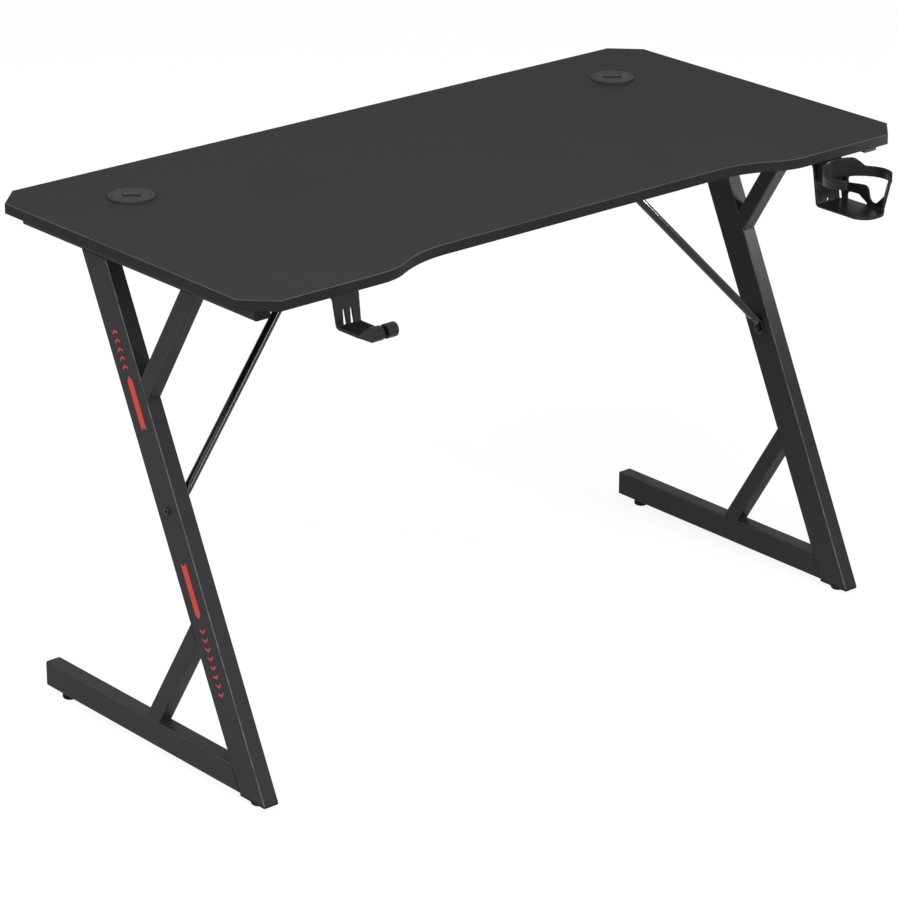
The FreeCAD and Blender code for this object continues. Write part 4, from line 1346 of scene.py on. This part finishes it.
@dataclass
class Accessory:
    """Moulded accessory that hangs from the board's underside, with an even skin and softened edges."""

    node: str
    name: str
    voxel: float
    passes: int = 5
    ease: float = 0.5

    def skin(self) -> BMesh:
        """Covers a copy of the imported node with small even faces.

        Returns:
            The skin, in the drawing frame.
        """
        mesh = as_mesh(plain_copy(self.node), "core")
        core = add_object("core", mesh)
        skin = core.modifiers.new("even_skin", "REMESH")
        skin.mode = "VOXEL"
        skin.voxel_size = self.voxel
        store = bpy.data.meshes.new_from_object(core.evaluated_get(bpy.context.evaluated_depsgraph_get()))
        bm = bmesh.new()
        bm.from_mesh(store)
        bpy.data.objects.remove(core)
        for stale in (mesh, store):
            bpy.data.meshes.remove(stale)
        return bm

    def build(self) -> None:
        """Builds the accessory."""
        bm = self.skin()
        for _ in range(self.passes):
            bmesh.ops.smooth_vert(bm, verts=bm.verts, factor=self.ease, use_axis_x=True, use_axis_y=True,
                                  use_axis_z=True)
        show(bm, self.name, ACCESSORY_PLASTIC, [self.node])


# The studio, in metres


@dataclass(frozen=True)
class SoftBox:
    """Lamp that faces a point, with its power in watts and its beam's angle in degrees."""

    name: str
    place: Point
    aim: Point
    size: tuple[float, float]
    power: float
    spread: float = 180.0

    def build(self) -> None:
        """Builds the lamp."""
        data = bpy.data.lights.new(self.name, "AREA")
        data.shape = "RECTANGLE"
        data.size, data.size_y = self.size
        data.energy = self.power
        data.spread = math.radians(self.spread)
        lamp = add_object(self.name, data)
        lamp.location = self.place
        lamp.rotation_euler = (Vector(self.aim) - Vector(self.place)).to_track_quat("-Z", "Y").to_euler()


@dataclass
class Studio:
    """Pale floor, soft light and the camera."""

    floor_reach: float = 20.0
    floor_drop: float = 0.0003
    floor_glow: float = 0.875
    floor_shade: float = 0.2
    floor_bounce: float = 0.55
    sky: float = 0.5
    lamps: tuple[SoftBox, ...] = (
        SoftBox("top_box", place=(-0.6, -1.1, 2.5), aim=(0, 0, 0.7), size=(1.6, 1.6), power=29.0),
        SoftBox("front_strip", place=(1.0, -4.2, 1.4), aim=(0, 0, 0.4), size=(0.3, 1.6), power=50.0),
        SoftBox("left_box", place=(-4.2, -0.6, 2.2), aim=(0, 0, 0.4), size=(2.0, 2.0), power=66.0),
        SoftBox("right_grid", place=(0.86, -0.38, 0.69), aim=(0.5, 0, 0.62), size=(0.12, 0.06), power=0.82,
                spread=75.0))
    camera_place: Point = (-3.4152, -3.9198, 2.3816)
    camera_turn: Point = (68.3218, -0.0917, -40.5296)
    lens: float = 154.79
    sensor: float = 36.0
    sight: float = 100.0

    def seen(self, graph: Graph) -> Socket:
        """Tells the rays that show the background from those that only carry light.

        Args:
            graph: node tree to add to.

        Returns:
            1 for rays from the camera, from a gloss or through glass.
        """
        total = graph.node("LightPath", "Is Camera Ray", {})
        for name in ("Is Glossy Ray", "Is Transmission Ray"):
            ray = graph.node("LightPath", name, {})
            total = graph.node("Math", "Value", {0: total, 1: ray}, operation="MAXIMUM")
        return total

    def build_floor(self) -> None:
        """Builds a white floor that keeps the desk's soft shadow."""
        bm = bmesh.new()
        bmesh.ops.create_grid(bm, x_segments=1, y_segments=1, size=self.floor_reach)
        bmesh.ops.translate(bm, vec=(0, 0, -self.floor_drop), verts=bm.verts)
        mesh = as_mesh(bm, "studio_floor")
        material = bpy.data.materials.new("white_studio_floor")
        material.use_nodes = True
        graph = Graph(material.node_tree)
        graph.tree.nodes.clear()
        plain, shade = (graph.node("BsdfDiffuse", 0, {"Color": (tone, tone, tone, 1)})
                        for tone in (self.floor_bounce, self.floor_shade))
        glow = graph.node("Emission", 0, {"Strength": self.floor_glow})
        white = graph.node("AddShader", 0, {0: shade, 1: glow})
        choice = graph.node("MixShader", 0, {0: self.seen(graph), 1: plain, 2: white})
        graph.feed(graph.tree.nodes.new("ShaderNodeOutputMaterial"), {"Surface": choice})
        mesh.materials.append(material)
        floor = add_object("studio_floor", mesh)

    def build_world(self) -> None:
        """Builds white surroundings with a soft level of light."""
        world = bpy.data.worlds.new("white_surroundings")
        bpy.context.scene.world = world
        world.use_nodes = True
        graph = Graph(world.node_tree)
        level = graph.node("MapRange", "Result", {"Value": self.seen(graph), "To Min": self.sky, "To Max": 1.0})
        graph.feed(graph.tree.nodes["Background"], {"Color": (1, 1, 1, 1), "Strength": level})

    def build_camera(self) -> None:
        """Builds the camera at the photograph's angle."""
        data = bpy.data.cameras.new("photo_camera")
        data.lens = self.lens
        data.sensor_width = self.sensor
        data.clip_end = self.sight
        camera = add_object("photo_camera", data)
        camera.location = self.camera_place
        camera.rotation_euler = [math.radians(turn) for turn in self.camera_turn]
        bpy.context.scene.camera = camera

    def build(self) -> None:
        """Builds the whole studio."""
        bpy.context.scene.view_settings.view_transform = "Standard"
        self.build_floor()
        self.build_world()
        for lamp in self.lamps:
            lamp.build()
        self.build_camera()


def main() -> None:
    """Builds the desk and the studio."""
    logging.basicConfig(level=logging.INFO, format="%(name)s: %(message)s")
    layout = Layout()
    Tabletop(layout).build()
    for side in Side:
        LegFrame(layout, side).build()
        LegPrint(layout, side).build()
        for row, y in layout.foot_rows:
            LevellingFoot(layout, side, row, y).build()
        Stay(layout, side).build()
        Grommet(layout, side).build()
    Fasteners(layout).build()
    Accessory("headphone_hook", "moulded_headphone_hook", voxel=0.5).build()
    Accessory("cup_holder", "moulded_cup_holder", voxel=0.7).build()
    Studio().build()


if __name__ == "__main__":
    main()
